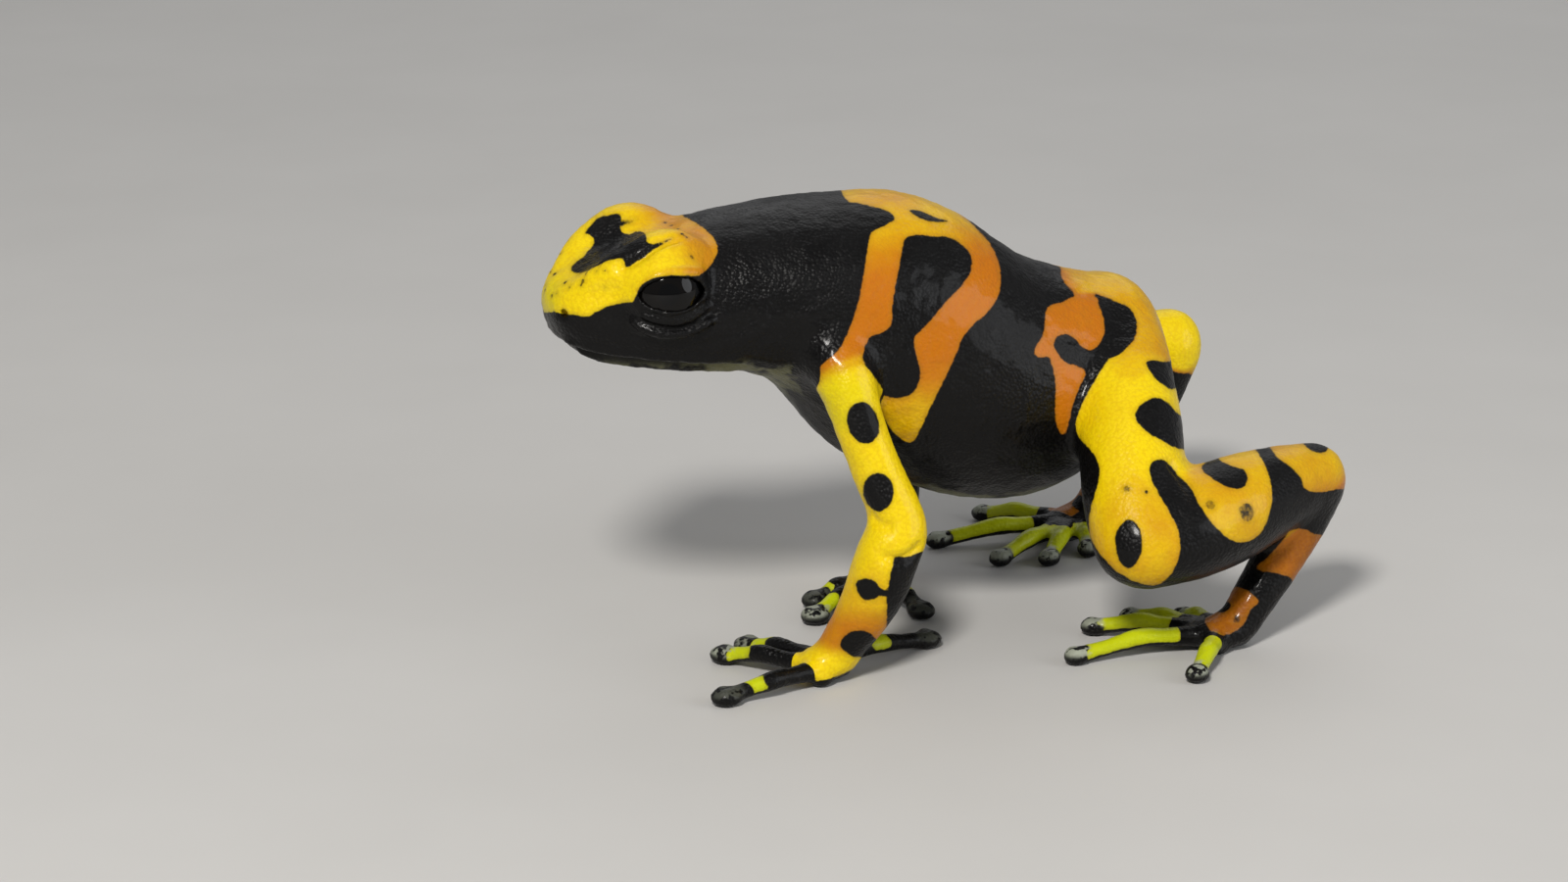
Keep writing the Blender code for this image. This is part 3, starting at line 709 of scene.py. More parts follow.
def away_from(place, where):
    """Distance of each point to one place."""
    return np.linalg.norm(where - np.array(place), axis=1)


def nearest_on(a, b, where):
    """How far from a to b the place nearest to each point lies, from 0 to 1, and the distance to it."""
    step = b - a
    t = np.clip((where - a) @ step / max(step @ step, 1e-12), 0, 1)
    return t, np.linalg.norm(where - (a + t[:, None] * step), axis=1)


def distance_to(line, where):
    """Distance of each point to a run of points."""
    return np.min([nearest_on(a, b, where)[1] for a, b in zip(line, line[1:])], axis=0)


def close_to(run, where, reach):
    """Which points lie in the box round a run, widened by reach."""
    within = (where > run.min(axis=0) - reach) & (where < run.max(axis=0) + reach)
    return np.flatnonzero(within.all(axis=1))


print("the snout is seen at the point", on_skin(560, 300).round(1))

# %% pressed lines
def press(line, width, depth):
    """Presses the skin in along a line, or raises it where depth is negative, on both sides."""
    for side in (-1, 1):
        run = on_side(line, side)
        near = close_to(run, points, 4 * width)
        away = distance_to(run, points[near])
        points[near] -= near_normals[near] * (depth * np.exp(-((away / width) ** 2)))[:, None]


# picture points, width and depth in millimetres
PRESSED_LINES = {
    "brow_groove": (((634, 273), (645, 268), (656, 261), (668, 252), (680, 246), (690, 243)), 0.28, 0.32),
    "canthus": (((596, 318), (612, 312), (630, 307), (643, 303)), 0.42, -0.16),
    "upper_lid": (((650, 297), (659, 288), (670, 281), (686, 277), (702, 277), (716, 278)), 0.26, -0.16),
    "lid_fold_1": (((657, 317), (670, 322), (686, 324), (702, 320), (717, 310)), 0.13, 0.13),
    "lid_ridge_1": (((655, 322), (671, 328), (688, 330), (706, 325), (723, 313)), 0.14, -0.12),
    "lid_fold_2": (((655, 328), (672, 334), (692, 336), (711, 331), (728, 319)), 0.14, 0.13),
    "lid_ridge_2": (((650, 334), (672, 340), (694, 341), (714, 336), (731, 326)), 0.16, -0.08),
    "lid_fold_3": (((640, 341), (662, 346), (686, 347), (708, 343), (726, 335)), 0.18, 0.09),
    "cheek_line": (((716, 352), (738, 346), (757, 335), (768, 320)), 0.34, 0.08),
    "elbow_inside": (((891, 530), (898, 535), (906, 537)), 0.30, 0.22),
    "elbow_outside": (((903, 569), (914, 571), (926, 568), (937, 560)), 0.34, 0.26),
    "knee_fold": (((1196, 476), (1206, 487), (1214, 499), (1221, 513)), 0.40, 0.20),
}
for name, (seen, width, depth) in PRESSED_LINES.items():
    line = catmull([on_skin(u, v) for u, v in seen], 4)
    press(line, width, depth)
    print(name, "length in mm:", round(float(np.linalg.norm(np.diff(line, axis=0), axis=1).sum()), 1))

# %% [markdown]
# ## The closed mouth
# The mouth runs right round the snout, so no single view sees all of it. Its height is known at each place
# along the head, so it is pressed in by height, with a low swelling over it for the upper lip.

# %% mouth
MOUTH_DEPTH, MOUTH_WIDTH = 0.30, 0.15
LIP_RISE, LIP_WIDTH, LIP_ABOVE = 0.07, 0.22, 0.42

lip_height = np.interp(points[:, 0], *np.transpose(LIP_LINE))
in_mouth = ease(points[:, 0], -14.6, -16.2)
lip_away = np.abs(points[:, 2] - lip_height)
points -= near_normals * (MOUTH_DEPTH * in_mouth * np.exp(-((lip_away / MOUTH_WIDTH) ** 2)))[:, None]
above_lip = points[:, 2] - lip_height - LIP_ABOVE
points += near_normals * (LIP_RISE * in_mouth * np.exp(-((above_lip / LIP_WIDTH) ** 2)))[:, None]
print("points on the mouth line:", int((in_mouth * (lip_away < MOUTH_WIDTH) > 0.5).sum()))

# %% [markdown]
# ## Lumpy, granular skin
# The back of a frog is not smooth: soft granules a fraction of a millimetre across catch the light.
# Bump alone could draw them, but not on the frog's outline, so the larger ones are real shape, from layered
# noise along the normal. The shader adds the finest later. The soles are then pressed flat onto the floor.

# %% granules
# height, size and seed of each layer of lumps
LUMPS = ((0.035, 0.9, 1), (0.022, 0.42, 2))


def noise_at(where, size, seed):
    """Smooth noise from -1 to 1 whose lumps are about size millimetres across."""
    offset = Vector((seed * 17.3, seed * 5.1, seed * 9.7))
    return np.array([noise.noise(Vector(p) / size + offset) for p in where])


lumps = sum(height * noise_at(points, size, seed) for height, size, seed in LUMPS)
on_trunk = ease(np.abs(points[:, 1]), 9.5, 6.0) * ease(points[:, 2], 6.0, 9.0)
points += near_normals * (lumps * (0.7 + 0.6 * on_trunk))[:, None]
points[:, 2] = np.maximum(points[:, 2], 0.0)
print("largest lump in mm:", round(float(np.abs(lumps).max()), 3))

# %% [markdown]
# ## Which limb is which
# The bands are painted as seen on the left side. For the right side each point looks up its twin on the left:
# the trunk and head are mirrored, and a limb, which stands differently, is also shifted bone by bone.
# The lookup also says how much a point belongs to an arm or a leg, so no arm paint spills onto the flank.

# %% along a limb
RUN_STEPS = 6


def along_run(where, stations, side):
    """Station number, axis point, thickness there and distance, for the nearest place on a limb."""
    run = catmull(sided_run(stations, side), RUN_STEPS)
    place, thick = np.zeros(len(where)), np.ones(len(where))
    axis = np.zeros((len(where), 3))
    best = np.full(len(where), np.inf)
    for i, (a, b) in enumerate(zip(run, run[1:])):
        t, away = nearest_on(a[:3], b[:3], where)
        closer = away < best
        found = a + t[closer, None] * (b - a)
        best[closer] = away[closer]
        place[closer] = (i + t[closer]) / RUN_STEPS
        axis[closer], thick[closer] = found[:, :3], found[:, 3]
    return place, axis, thick, best


def point_on(stations, place):
    """The places on a left limb that belong to station numbers."""
    run = catmull(sided_run(stations, -1), RUN_STEPS)
    return np.column_stack([np.interp(place * RUN_STEPS, np.arange(len(run)), run[:, k]) for k in range(3)])


print("stations of the left arm:", len(LEFT_ARM))

# %% twins on the left side
# the palm and the sole that end a limb's run, on the left and on the right
HAND_END = ((-11.7, 7.8, 0.95, 1.5), (-4.2, 4.1, 0.95, 1.45))
FOOT_END = ((10.8, 10.5, 0.95, 1.5), (11.0, 10.5, 0.95, 1.5))
# left run, right run, and the stations where the limb's own paint begins and is full
PAINTED_RUNS = {
    "arm": (LEFT_ARM + HAND_END[:1], RIGHT_ARM + HAND_END[1:], 0.75, 1.25),
    "thigh": (LEFT_THIGH, RIGHT_THIGH, 0.35, 1.15),
    "shank": (LEFT_SHANK, RIGHT_SHANK, -1.0, -0.5),
    "tarsus": (LEFT_TARSUS + FOOT_END[:1], RIGHT_TARSUS + FOOT_END[1:], -1.0, -0.5),
}

is_right = points[:, 1] > 0
twin = points.copy()
twin[is_right, 1] *= -1
twin_normals = broad_normals.copy()
twin_normals[is_right, 1] *= -1
toward = unit(viewpoint - twin)

best_fit = np.full(len(points), np.inf)
arm_share, leg_share = np.zeros(len(points)), np.zeros(len(points))
turned_to = np.zeros(len(points))
place_on = np.full(len(points), -1.0)
run_number = np.full(len(points), -1)
moved = np.zeros((len(points), 3))
for number, (name, (left, far, root, full)) in enumerate(PAINTED_RUNS.items()):
    for side, stations in ((-1, left), (1, far)):
        own = np.flatnonzero(is_right == (side > 0))
        place, axis, thick, away = along_run(points[own], stations, side)
        fit = away / thick
        share = ease(fit, 1.42, 1.18) * (ease(place, root, full) if root >= 0 else 1.0)
        mirrored = on_side(axis, side)
        offset = twin[own] - mirrored
        facing = (offset * toward[own]).sum(axis=1) / thick
        better = fit < best_fit[own]
        chosen = own[better]
        best_fit[chosen] = fit[better]
        run_number[chosen] = number
        place_on[chosen] = place[better]
        turned_to[chosen] = facing[better]
        arm_share[chosen] = share[better] if name == "arm" else 0.0
        leg_share[chosen] = share[better] if name != "arm" else 0.0
        moved[chosen] = ((point_on(left, place) - mirrored) * share[:, None])[better] if side > 0 else 0.0
twin = twin + moved
print("arm points:", int((arm_share > 0.5).sum()), "leg points:", int((leg_share > 0.5).sum()))

# %% [markdown]
# ## Outlines of the bands
# A mark is a smooth closed outline in the picture, and what the skin keeps is the distance to its edge:
# positive inside, negative outside. Distances can be joined with a maximum, cut with a minimum and blended,
# and the shader turns them into an edge that stays sharp at any size.
# Where a mark runs over the frog's own edge, its outline is drawn well past it, so no rim is left bare.

# %% head and trunk outlines
HEAD_PATCH = (
    (536, 300), (544, 316), (556, 319), (566, 318), (576, 320), (586, 321), (595, 323), (602, 322),
    (609, 318), (617, 314), (626, 311), (636, 309), (646, 308), (649, 301), (653, 293), (660, 287),
    (670, 283), (682, 281), (696, 281), (712, 281), (721, 275), (728, 266), (732, 256), (730, 246),
    (723, 237), (713, 229), (702, 223), (692, 217), (680, 208), (655, 196), (620, 196), (588, 212),
    (568, 244), (550, 272),
)
CROWN_MARK = (
    (585, 278), (583, 272), (588, 267), (595, 262), (600, 256), (605, 250), (606, 244), (602, 240),
    (597, 238), (601, 232), (607, 225), (613, 221), (624, 219), (633, 219), (634, 226), (633, 232),
    (636, 237), (642, 239), (648, 237), (655, 236), (659, 240), (660, 246), (665, 249), (674, 247),
    (686, 243), (677, 249), (668, 254), (662, 259), (655, 264), (648, 268), (642, 272), (638, 272),
    (636, 266), (632, 264), (625, 265), (618, 267), (610, 271), (600, 276), (592, 279),
)
FLANK_BAND = (
    (857, 180), (885, 178), (930, 180), (962, 188), (975, 205), (984, 220), (997, 234), (1009, 247),
    (1017, 262), (1021, 280), (1019, 300), (1008, 318), (992, 332), (982, 345), (976, 360), (966, 382),
    (957, 400), (948, 418), (940, 436), (932, 450), (924, 450), (912, 441), (902, 427), (892, 411),
    (883, 394), (874, 378), (862, 376), (850, 380), (840, 380), (838, 373), (848, 365), (859, 352),
    (867, 335), (873, 318), (878, 300), (882, 275), (886, 250), (890, 237), (905, 229), (913, 223),
    (905, 215), (884, 209), (863, 203),
)
FLANK_BLOTCH = (
    (924, 243), (935, 240), (952, 241), (968, 242), (982, 250), (991, 262), (990, 278), (980, 293),
    (968, 305), (957, 318), (947, 330), (939, 338), (934, 343), (933, 352), (936, 365), (939, 380),
    (937, 392), (930, 402), (918, 406), (905, 404), (895, 396), (887, 384), (883, 370), (883, 355),
    (888, 344), (898, 340), (907, 335), (910, 325), (911, 308), (914, 290), (918, 268), (921, 252),
)
BACK_LENS = ((928, 215), (938, 215), (952, 221), (966, 226), (950, 226), (937, 222))
RUMP_BAND = (
    (1078, 250), (1082, 270), (1083, 281), (1088, 291), (1096, 299), (1096, 308), (1118, 308), (1117, 300),
    (1128, 303), (1142, 309), (1150, 312), (1157, 320), (1160, 332), (1158, 345), (1150, 355), (1142, 362),
    (1130, 369), (1140, 385), (1165, 385), (1185, 372), (1204, 362), (1210, 335), (1206, 300), (1190, 272),
    (1150, 260), (1110, 254),
)
HIP_HOOK = (
    (1096, 303), (1085, 308), (1072, 312), (1067, 318), (1066, 330), (1064, 342), (1058, 352), (1055, 360),
    (1061, 365), (1070, 364), (1074, 374), (1077, 390), (1077, 408), (1077, 425), (1080, 438), (1084, 443),
    (1088, 440), (1091, 430), (1094, 416), (1098, 403), (1102, 394), (1107, 384), (1106, 377), (1098, 373),
    (1090, 371), (1083, 366), (1078, 358), (1075, 351), (1078, 344), (1085, 341), (1092, 342), (1098, 347),
    (1103, 353), (1110, 357), (1118, 355), (1124, 347), (1127, 338), (1126, 325), (1121, 312), (1118, 303),
)
BODY_YELLOWS = (HEAD_PATCH, FLANK_BAND, RUMP_BAND, HIP_HOOK)
BODY_BLACKS = (CROWN_MARK, FLANK_BLOTCH, BACK_LENS)
print("outlines on head and trunk:", len(BODY_YELLOWS + BODY_BLACKS))

# %% arm outlines
ARM_PATCH = (
    (838, 370), (830, 384), (826, 412), (832, 445), (846, 482), (860, 512), (872, 535), (856, 562),
    (843, 595), (838, 620), (826, 636), (806, 654), (796, 674), (804, 694), (840, 694), (872, 682),
    (888, 672), (898, 656), (904, 645), (905, 630), (905, 612), (907, 595), (910, 580), (913, 568),
    (926, 568), (940, 563), (962, 556), (966, 530), (950, 500), (934, 470), (918, 435), (902, 400),
    (882, 372), (862, 360),
)
ARM_BLACKS = (
    ((866, 418), (874, 411), (884, 411), (893, 420), (897, 432), (896, 444), (888, 452), (877, 451),
     (868, 442), (864, 429)),
    ((884, 489), (892, 483), (902, 484), (910, 492), (912, 504), (908, 515), (898, 522), (888, 518),
     (882, 508), (881, 497)),
    ((874, 594), (884, 590), (893, 593), (898, 600), (907, 604), (908, 609), (898, 608), (893, 611),
     (882, 612), (875, 604)),
    ((860, 651), (868, 645), (880, 643), (890, 648), (897, 658), (892, 668), (880, 671), (867, 668),
     (858, 660)),
)
print("marks in the yellow of the arm:", len(ARM_BLACKS))

# %% leg outlines
LEG_PATCH = (
    (1142, 362), (1130, 369), (1123, 379), (1116, 391), (1108, 405), (1101, 420), (1098, 432), (1101, 446),
    (1111, 457), (1120, 470), (1122, 486), (1117, 505), (1112, 525), (1112, 545), (1119, 560), (1131, 575),
    (1146, 587), (1160, 594), (1176, 597), (1189, 592), (1199, 579), (1204, 562), (1203, 545), (1197, 530),
    (1190, 517), (1183, 505), (1176, 492), (1173, 480), (1175, 472), (1182, 469), (1190, 471), (1197, 478),
    (1204, 487), (1211, 493), (1217, 501), (1223, 513), (1232, 528), (1243, 540), (1254, 550), (1266, 553),
    (1279, 550), (1289, 540), (1295, 525), (1298, 509), (1296, 490), (1291, 475), (1282, 460), (1262, 436),
    (1235, 430), (1222, 420), (1225, 380), (1215, 345), (1170, 345), (1154, 352),
)
HEEL_PATCH = (
    (1292, 445), (1305, 425), (1345, 425), (1380, 440), (1395, 470), (1390, 497), (1366, 499), (1350, 502),
    (1336, 501), (1330, 496), (1327, 487), (1320, 479), (1311, 472), (1301, 464),
)
TARSUS_PATCH = (
    (1318, 541), (1331, 540), (1342, 545), (1362, 550), (1366, 575), (1352, 606), (1326, 612), (1320, 600),
    (1317, 590), (1304, 585), (1290, 583), (1282, 579), (1291, 571), (1301, 561), (1309, 551),
)
FOOT_PATCH = (
    (1238, 612), (1248, 603), (1262, 599), (1275, 604), (1284, 614), (1276, 622), (1272, 632), (1264, 642),
    (1250, 648), (1238, 646), (1230, 634), (1232, 621),
)
LEG_YELLOWS = (LEG_PATCH, HEEL_PATCH, TARSUS_PATCH, FOOT_PATCH, RUMP_BAND, HIP_HOOK)
LEG_BLACKS = (
    ((1145, 534), (1152, 530), (1160, 535), (1165, 547), (1165, 562), (1160, 574), (1152, 580), (1144, 575),
     (1139, 563), (1138, 547)),
    ((1158, 425), (1162, 415), (1170, 409), (1180, 406), (1191, 410), (1199, 419), (1210, 430), (1216, 446),
     (1210, 458), (1197, 456), (1186, 450), (1175, 444), (1165, 436)),
    ((1169, 370), (1176, 366), (1184, 367), (1194, 370), (1204, 378), (1206, 392), (1195, 397), (1185, 391),
     (1177, 384)),
    ((1226, 478), (1232, 470), (1240, 466), (1250, 473), (1262, 477), (1270, 480), (1273, 487), (1271, 495),
     (1263, 499), (1253, 497), (1244, 493), (1235, 487)),
    ((1322, 442), (1340, 438), (1357, 450), (1352, 461), (1341, 461), (1330, 453)),
    ((1240, 617), (1250, 613), (1256, 618), (1250, 624), (1242, 624)),
)
print("outlines on the leg:", len(LEG_YELLOWS + LEG_BLACKS))

# %% freckles
# picture point and radius in millimetres
FRECKLES = (
    (577, 289, 0.13), (581, 293, 0.08), (595, 287, 0.12), (593, 291, 0.05), (563, 302, 0.10),
    (568, 300, 0.06), (598, 280, 0.06), (609, 277, 0.07), (617, 276, 0.06), (612, 272, 0.05),
    (617, 294, 0.05), (679, 227, 0.13), (685, 230, 0.12), (696, 239, 0.10), (701, 242, 0.06),
    (1170, 502, 0.10),
)
BROWN_DOTS = ((1235, 515, 0.26), (1272, 523, 0.50), (1150, 499, 0.18), (706, 262, 0.10), (1262, 632, 0.22))
print("black freckles:", len(FRECKLES), "brown dots:", len(BROWN_DOTS))

# %% [markdown]
# ## Distance to an outline
# A level line from a point inside an outline crosses its edge an odd number of times, which tells inside
# from outside. The distance to the nearest stretch of the edge then gets a plus or a minus.

# %% distance to an outline
def inside(seen, outline, reach=30.0):
    """Distance in picture pixels to a smooth closed outline, positive inside it."""
    ring = catmull(outline, 4, ring=True)
    signed = np.full(len(seen), -reach)
    near = close_to(ring, seen, reach)
    at = seen[near]
    best = np.full(len(near), np.inf)
    odd = np.zeros(len(near), bool)
    for a, b in zip(ring, np.roll(ring, -1, axis=0)):
        best = np.minimum(best, nearest_on(a, b, at)[1])
        if a[1] != b[1]:
            crosses = (a[1] > at[:, 1]) != (b[1] > at[:, 1])
            slant = (b[0] - a[0]) / (b[1] - a[1])
            odd ^= crosses & (at[:, 0] < a[0] + (at[:, 1] - a[1]) * slant)
    signed[near] = np.clip(np.where(odd, best, -best), -reach, reach)
    return signed


def painted(seen, yellows, blacks):
    """Distance in millimetres into the yellow, with the black marks cut out of it."""
    yellow = np.max([inside(seen, outline) for outline in yellows], axis=0)
    black = np.max([inside(seen, outline) for outline in blacks], axis=0)
    return np.minimum(yellow, -black) / PIXELS_PER_MM


thigh_place = np.array([(1150.0, 480.0)])
print("yellow round a place on the thigh in mm:", painted(thigh_place, LEG_YELLOWS, LEG_BLACKS).round(2))

# %% [markdown]
# ## Painting the skin
# Each group of marks is worked out for every point and blended by how far the point is arm, leg or trunk.
# The view reaches a little past the middle of the back and crown. There the far side takes the outlines as
# they are, and turns into the mirrored pattern only where it is out of sight.
# The far side also drifts a little, because no frog is the same on both sides.

# %% paint
# a dot this shallow under the edge value comes out brown and not black
BROWN_DEPTH = -0.012
NEAR_HEEL, FAR_HEEL = (16.6, -8.8, 8.4), (16.8, 10.3, 11.8)
DRIFT_PIXELS = 5.0

drift = DRIFT_PIXELS * ease(points[:, 1], 1.5, 4.5)
sway = np.column_stack([noise_at(points, 5.0, 3), noise_at(points, 5.0, 4)]) * drift[:, None]
seen_twin = pixels_of(twin) + sway
seen_self = pixels_of(points)

body_twin = painted(seen_twin, BODY_YELLOWS, BODY_BLACKS)
body_self = painted(seen_self, BODY_YELLOWS, BODY_BLACKS)
faces_us = (broad_normals * unit(viewpoint - points)).sum(axis=1)
direct = np.where(is_right, ease(faces_us, -0.02, 0.06), 1.0)
body_paint = direct * body_self + (1 - direct) * body_twin
# the yellow ends where the trunk turns under, and on a limb where it turns away from the view
turned_up = twin_normals @ np.array([0.0, -0.9, 0.45]) + 0.18
body_paint = np.minimum(body_paint, turned_up * 3.0)
# where the skin is seen edge on, the picture gives ragged edges, so they are evened out
edge_on = ease(np.abs(faces_us), 0.3, 0.12)
body_paint += edge_on * (averaged(body_paint[:, None], 12)[:, 0] - body_paint)

arm_paint = painted(seen_twin, (ARM_PATCH,), ARM_BLACKS)
arm_paint = np.minimum(arm_paint, (turned_to + 0.55) * 1.5)
leg_paint = painted(seen_twin, LEG_YELLOWS, LEG_BLACKS)
near_heel_away = away_from(NEAR_HEEL, twin)
leg_paint = np.minimum(leg_paint, (turned_to + 0.25) * 2.5 + 4.0 * ease(near_heel_away, 4.2, 2.6))
far_heel_away = away_from(FAR_HEEL, points) + 0.4 * noise_at(points, 1.6, 8)
far_heel = ease(far_heel_away, 2.9, 2.1)
leg_paint = np.maximum(leg_paint, 0.6 * far_heel - 0.3)

paint = (1 - arm_share - leg_share) * body_paint + arm_share * arm_paint + leg_share * leg_paint
for dots, depth in ((FRECKLES, -np.inf), (BROWN_DOTS, BROWN_DEPTH)):
    for u, v, size in dots:
        spot = on_skin(u, v)
        for side in (-1, 1):
            away = away_from(on_side(spot, side), points)
            paint = np.minimum(paint, np.maximum(away - size, depth))
print("painted share of the skin:", round(float((paint > 0).mean()), 2))

# %% [markdown]
# ## Painting fingers and toes
# A digit is black at its root, then yellow-green, with a pale disc, so it is painted by how far along it a
# point lies. A toe is green for nearly its whole length, and a finger only for a short stretch.

# %% painted digits
# start and end of the green on each digit, from its root (0) to its tip (1), and how pale its disc is
FINGER_GREENS = ((0.60, 0.76, 0.15), (0.62, 0.88, 0.8), (0.60, 0.84, 0.5), (0.38, 0.58, 0.15))
TOE_GREENS = ((0.16, 0.92, 1.0), (0.14, 0.90, 0.9), (0.16, 0.90, 0.8), (0.18, 0.88, 0.9), (0.20, 0.86, 0.9))
DIGIT_REACH = 1.6

green, pale = np.zeros(len(points)), np.zeros(len(points))
for side, hand, radius, disc in DIGITS:
    for joints, (start, stop, paleness) in zip(hand, FINGER_GREENS if len(hand) == 4 else TOE_GREENS):
        line = catmull(sided_run(joints, side), 8)
        near = close_to(line, points, DIGIT_REACH)
        place, _, _, away = along_run(points[near], [(*p, 1.0) for p in joints], side)
        place = place / (len(joints) - 1)
        tip = away_from(line[-1], points[near])
        share = np.maximum(ease(away, radius * 1.9, radius * 1.45), ease(tip, disc[0] * 1.35, disc[0] * 1.1))
        share = share * ease(place, 0.06, 0.22)
        ragged = 0.05 * noise_at(points[near], 0.55, 6)
        inner = np.minimum(place - start, stop - place) * 5.0 + ragged * 6.0
        top_only = (near_normals[near, 2] + 0.3 + 2.0 * ragged) * 0.8
        paint[near] = (1 - share) * paint[near] + share * np.minimum(inner, top_only)
        green[near] = np.maximum(green[near], share)
        on_top = ease(near_normals[near, 2], 0.0, 0.6)
        pale[near] = np.maximum(pale[near], ease(tip, disc[0] * 1.25, disc[0] * 0.75) * paleness * on_top)
print("green points:", int((green > 0.5).sum()))

# %% [markdown]
# ## Warmth and belly
# The yellow is not one colour: lemon on the snout, arms and thighs, deep orange on the flanks, hips and feet,
# and darker still on the tarsus and the feet, where a rust paints their shade. The underside is black marbled
# with a dull grey-green. These go onto the skin as smooth values too.

# %% warmth and belly
def near_to(centre, full, none):
    """1 within full millimetres of a place on the left-side twin, 0 beyond none."""
    return ease(away_from(centre, twin), none, full)


on_head = ease(points[:, 0], -15.0, -17.5) * ease(points[:, 2], 16.0, 18.0)
# 0 is lemon, 1 is deep orange, and more is a darker rust, which paints the shade on the tarsus and the foot
warmth = 1.0 - 0.5 * ease(points[:, 2], 21.0, 24.0)
warmth -= 0.5 * ease(points[:, 2], 17.5, 14.0) * ease(points[:, 0], 2.5, 0.5)
on_rump = ease(points[:, 0], 5.5, 7.5) * ease(points[:, 2], 14.0, 16.5) * ease(np.abs(points[:, 1]), 5.8, 4.2)
behind_hips = ease(points[:, 0], 8.2, 9.4) * ease(points[:, 2], 11.0, 12.5)
in_hook = ease(inside(seen_twin, HIP_HOOK) / PIXELS_PER_MM, -0.3, 0.0)
in_band = ease(inside(seen_twin, RUMP_BAND) / PIXELS_PER_MM, -0.3, 0.2)
in_band = in_band * ease(points[:, 0], 4.0, 6.0) * (1 - in_hook)
on_rump = np.maximum.reduce([on_rump, behind_hips, in_band])
warmth = warmth * (1 - on_rump) + 0.5 * on_rump
warmth = warmth * (1 - on_head) + on_head * (0.03 + 0.7 * ease(points[:, 0], -20.6, -16.6))
# a warmer, darker orange along the lower edge of the brow paints the shade under its rolled rim
brow_rim = catmull([on_skin(u, v) for u, v in PRESSED_LINES["upper_lid"][0]], 4)
for side in (-1, 1):
    warmth += 0.35 * ease(distance_to(on_side(brow_rim, side), points), 0.32, 0.08)
arm_warmth = 0.08 + 0.28 * ease(twin[:, 2], 7.5, 5.5) + 0.45 * ease(twin[:, 2], 5.0, 3.4)
arm_warmth = arm_warmth * ease(twin[:, 2], 1.4, 2.6)
warmth = warmth * (1 - arm_share) + arm_share * arm_warmth
under_heel = ease(place_on, 2.6, 3.6) * ease(twin[:, 2], 10.0, 8.6)
# the tarsus gets 1.45, a darker rust that paints the shade on the tarsus and the foot
leg_warmth = np.select(
    [run_number == 1, run_number == 2, run_number == 3],
    [0.03 + 0.45 * ease(place_on, 2.4, 4.0), 0.5 + 0.25 * under_heel, 1.45],
    0.3,
)
leg_warmth = averaged(leg_warmth[:, None], 25)[:, 0]
leg_warmth = leg_warmth * (1 - in_band) + 0.4 * in_band
leg_warmth = np.maximum(leg_warmth, 1.1 * in_hook * (1 - behind_hips))
leg_warmth = leg_warmth * (1 - 0.95 * far_heel)
warmth = warmth * (1 - leg_share) + leg_share * leg_warmth

green = np.maximum(green, 0.35 * near_to((-25.0, 0.0, 20.2), 0.6, 2.4))
green = np.maximum(green, 0.30 * near_to((-10.6, -7.4, 15.6), 0.8, 2.4))
throat = ease(-twin_normals[:, 2], 0.5, 0.8) * ease(points[:, 0], -10.0, -12.5)
belly = 0.9 * ease(-twin_normals[:, 2], 0.72, 0.92)
under = np.maximum(throat, belly) * (1 - arm_share) * (1 - 0.8 * leg_share)
under = under * ease(points[:, 2], 1.2, 3.0) * (1 - on_head * ease(points[:, 2], 16.9, 17.5))
print("mean warmth:", round(float(warmth.mean()), 2), "underside points:", int((under > 0.5).sum()))

# %% [markdown]
# ## The skin as a piece
# The painted values travel with the mesh as attributes, one number for each point, for the material to read.
# An image would need the skin laid out flat first, and its seams and pixels would show on so small an animal.

# %% skin piece
def store(mesh, name, values):
    """Keeps one number for each point on the mesh."""
    layer = mesh.attributes.new(name, "FLOAT", "POINT")
    layer.data.foreach_set("value", np.asarray(values, np.float32))


finished = bpy.data.meshes.new("frog_skin")
finished.from_pydata([tuple(p) for p in (points + SHIFT) * MM], [], skin_faces)
finished.shade_smooth()
painted_values = {"paint": paint, "warmth": warmth, "green": green, "pale": pale, "under": under}
for name, values in painted_values.items():
    store(finished, name, values)
skin = shown("frog_skin", finished)
print("skin faces:", len(finished.polygons))

# %% [markdown]
# ## Shared effects
# Black, yellow and pale skin all have the same granules, and every mark needs the same lively edge,
# so each effect is a node group that is built once. A group only hands out heights and masks, and the
# material chooses the sizes and the colours.

# %% node helpers
def feed(slot, value):
    """Links another node's output to a socket, or sets the socket to a number or a colour."""
    if isinstance(value, bpy.types.NodeSocket):
        slot.id_data.links.new(value, slot)
    else:
        slot.default_value = value


def math_node(tree, operation, *values):
    node = tree.nodes.new("ShaderNodeMath")
    node.operation = operation
    for slot, value in zip(node.inputs, values):
        feed(slot, value)
    return node.outputs[0]


def steps_between(tree, value, low, high, out_low=0.0, out_high=1.0):
    """A smooth step from out_low to out_high while the value goes from low to high."""
    node = tree.nodes.new("ShaderNodeMapRange")
    node.interpolation_type = "SMOOTHSTEP"
    for slot, number in zip(node.inputs, (value, low, high, out_low, out_high)):
        feed(slot, number)
    return node.outputs["Result"]


def noise_node(tree, vector, scale, detail=2.0, roughness=0.5):
    node = tree.nodes.new("ShaderNodeTexNoise")
    for title, value in (("Vector", vector), ("Scale", scale), ("Detail", detail), ("Roughness", roughness)):
        feed(node.inputs[title], value)
    return node.outputs["Fac"]


def blend_colours(tree, share, first, second):
    node = tree.nodes.new("ShaderNodeMix")
    node.data_type = "RGBA"
    feed(node.inputs["Factor"], share)
    for slot, value in zip([s for s in node.inputs if s.type == "RGBA"], (first, second)):
        feed(slot, value)
    return next(s for s in node.outputs if s.type == "RGBA")


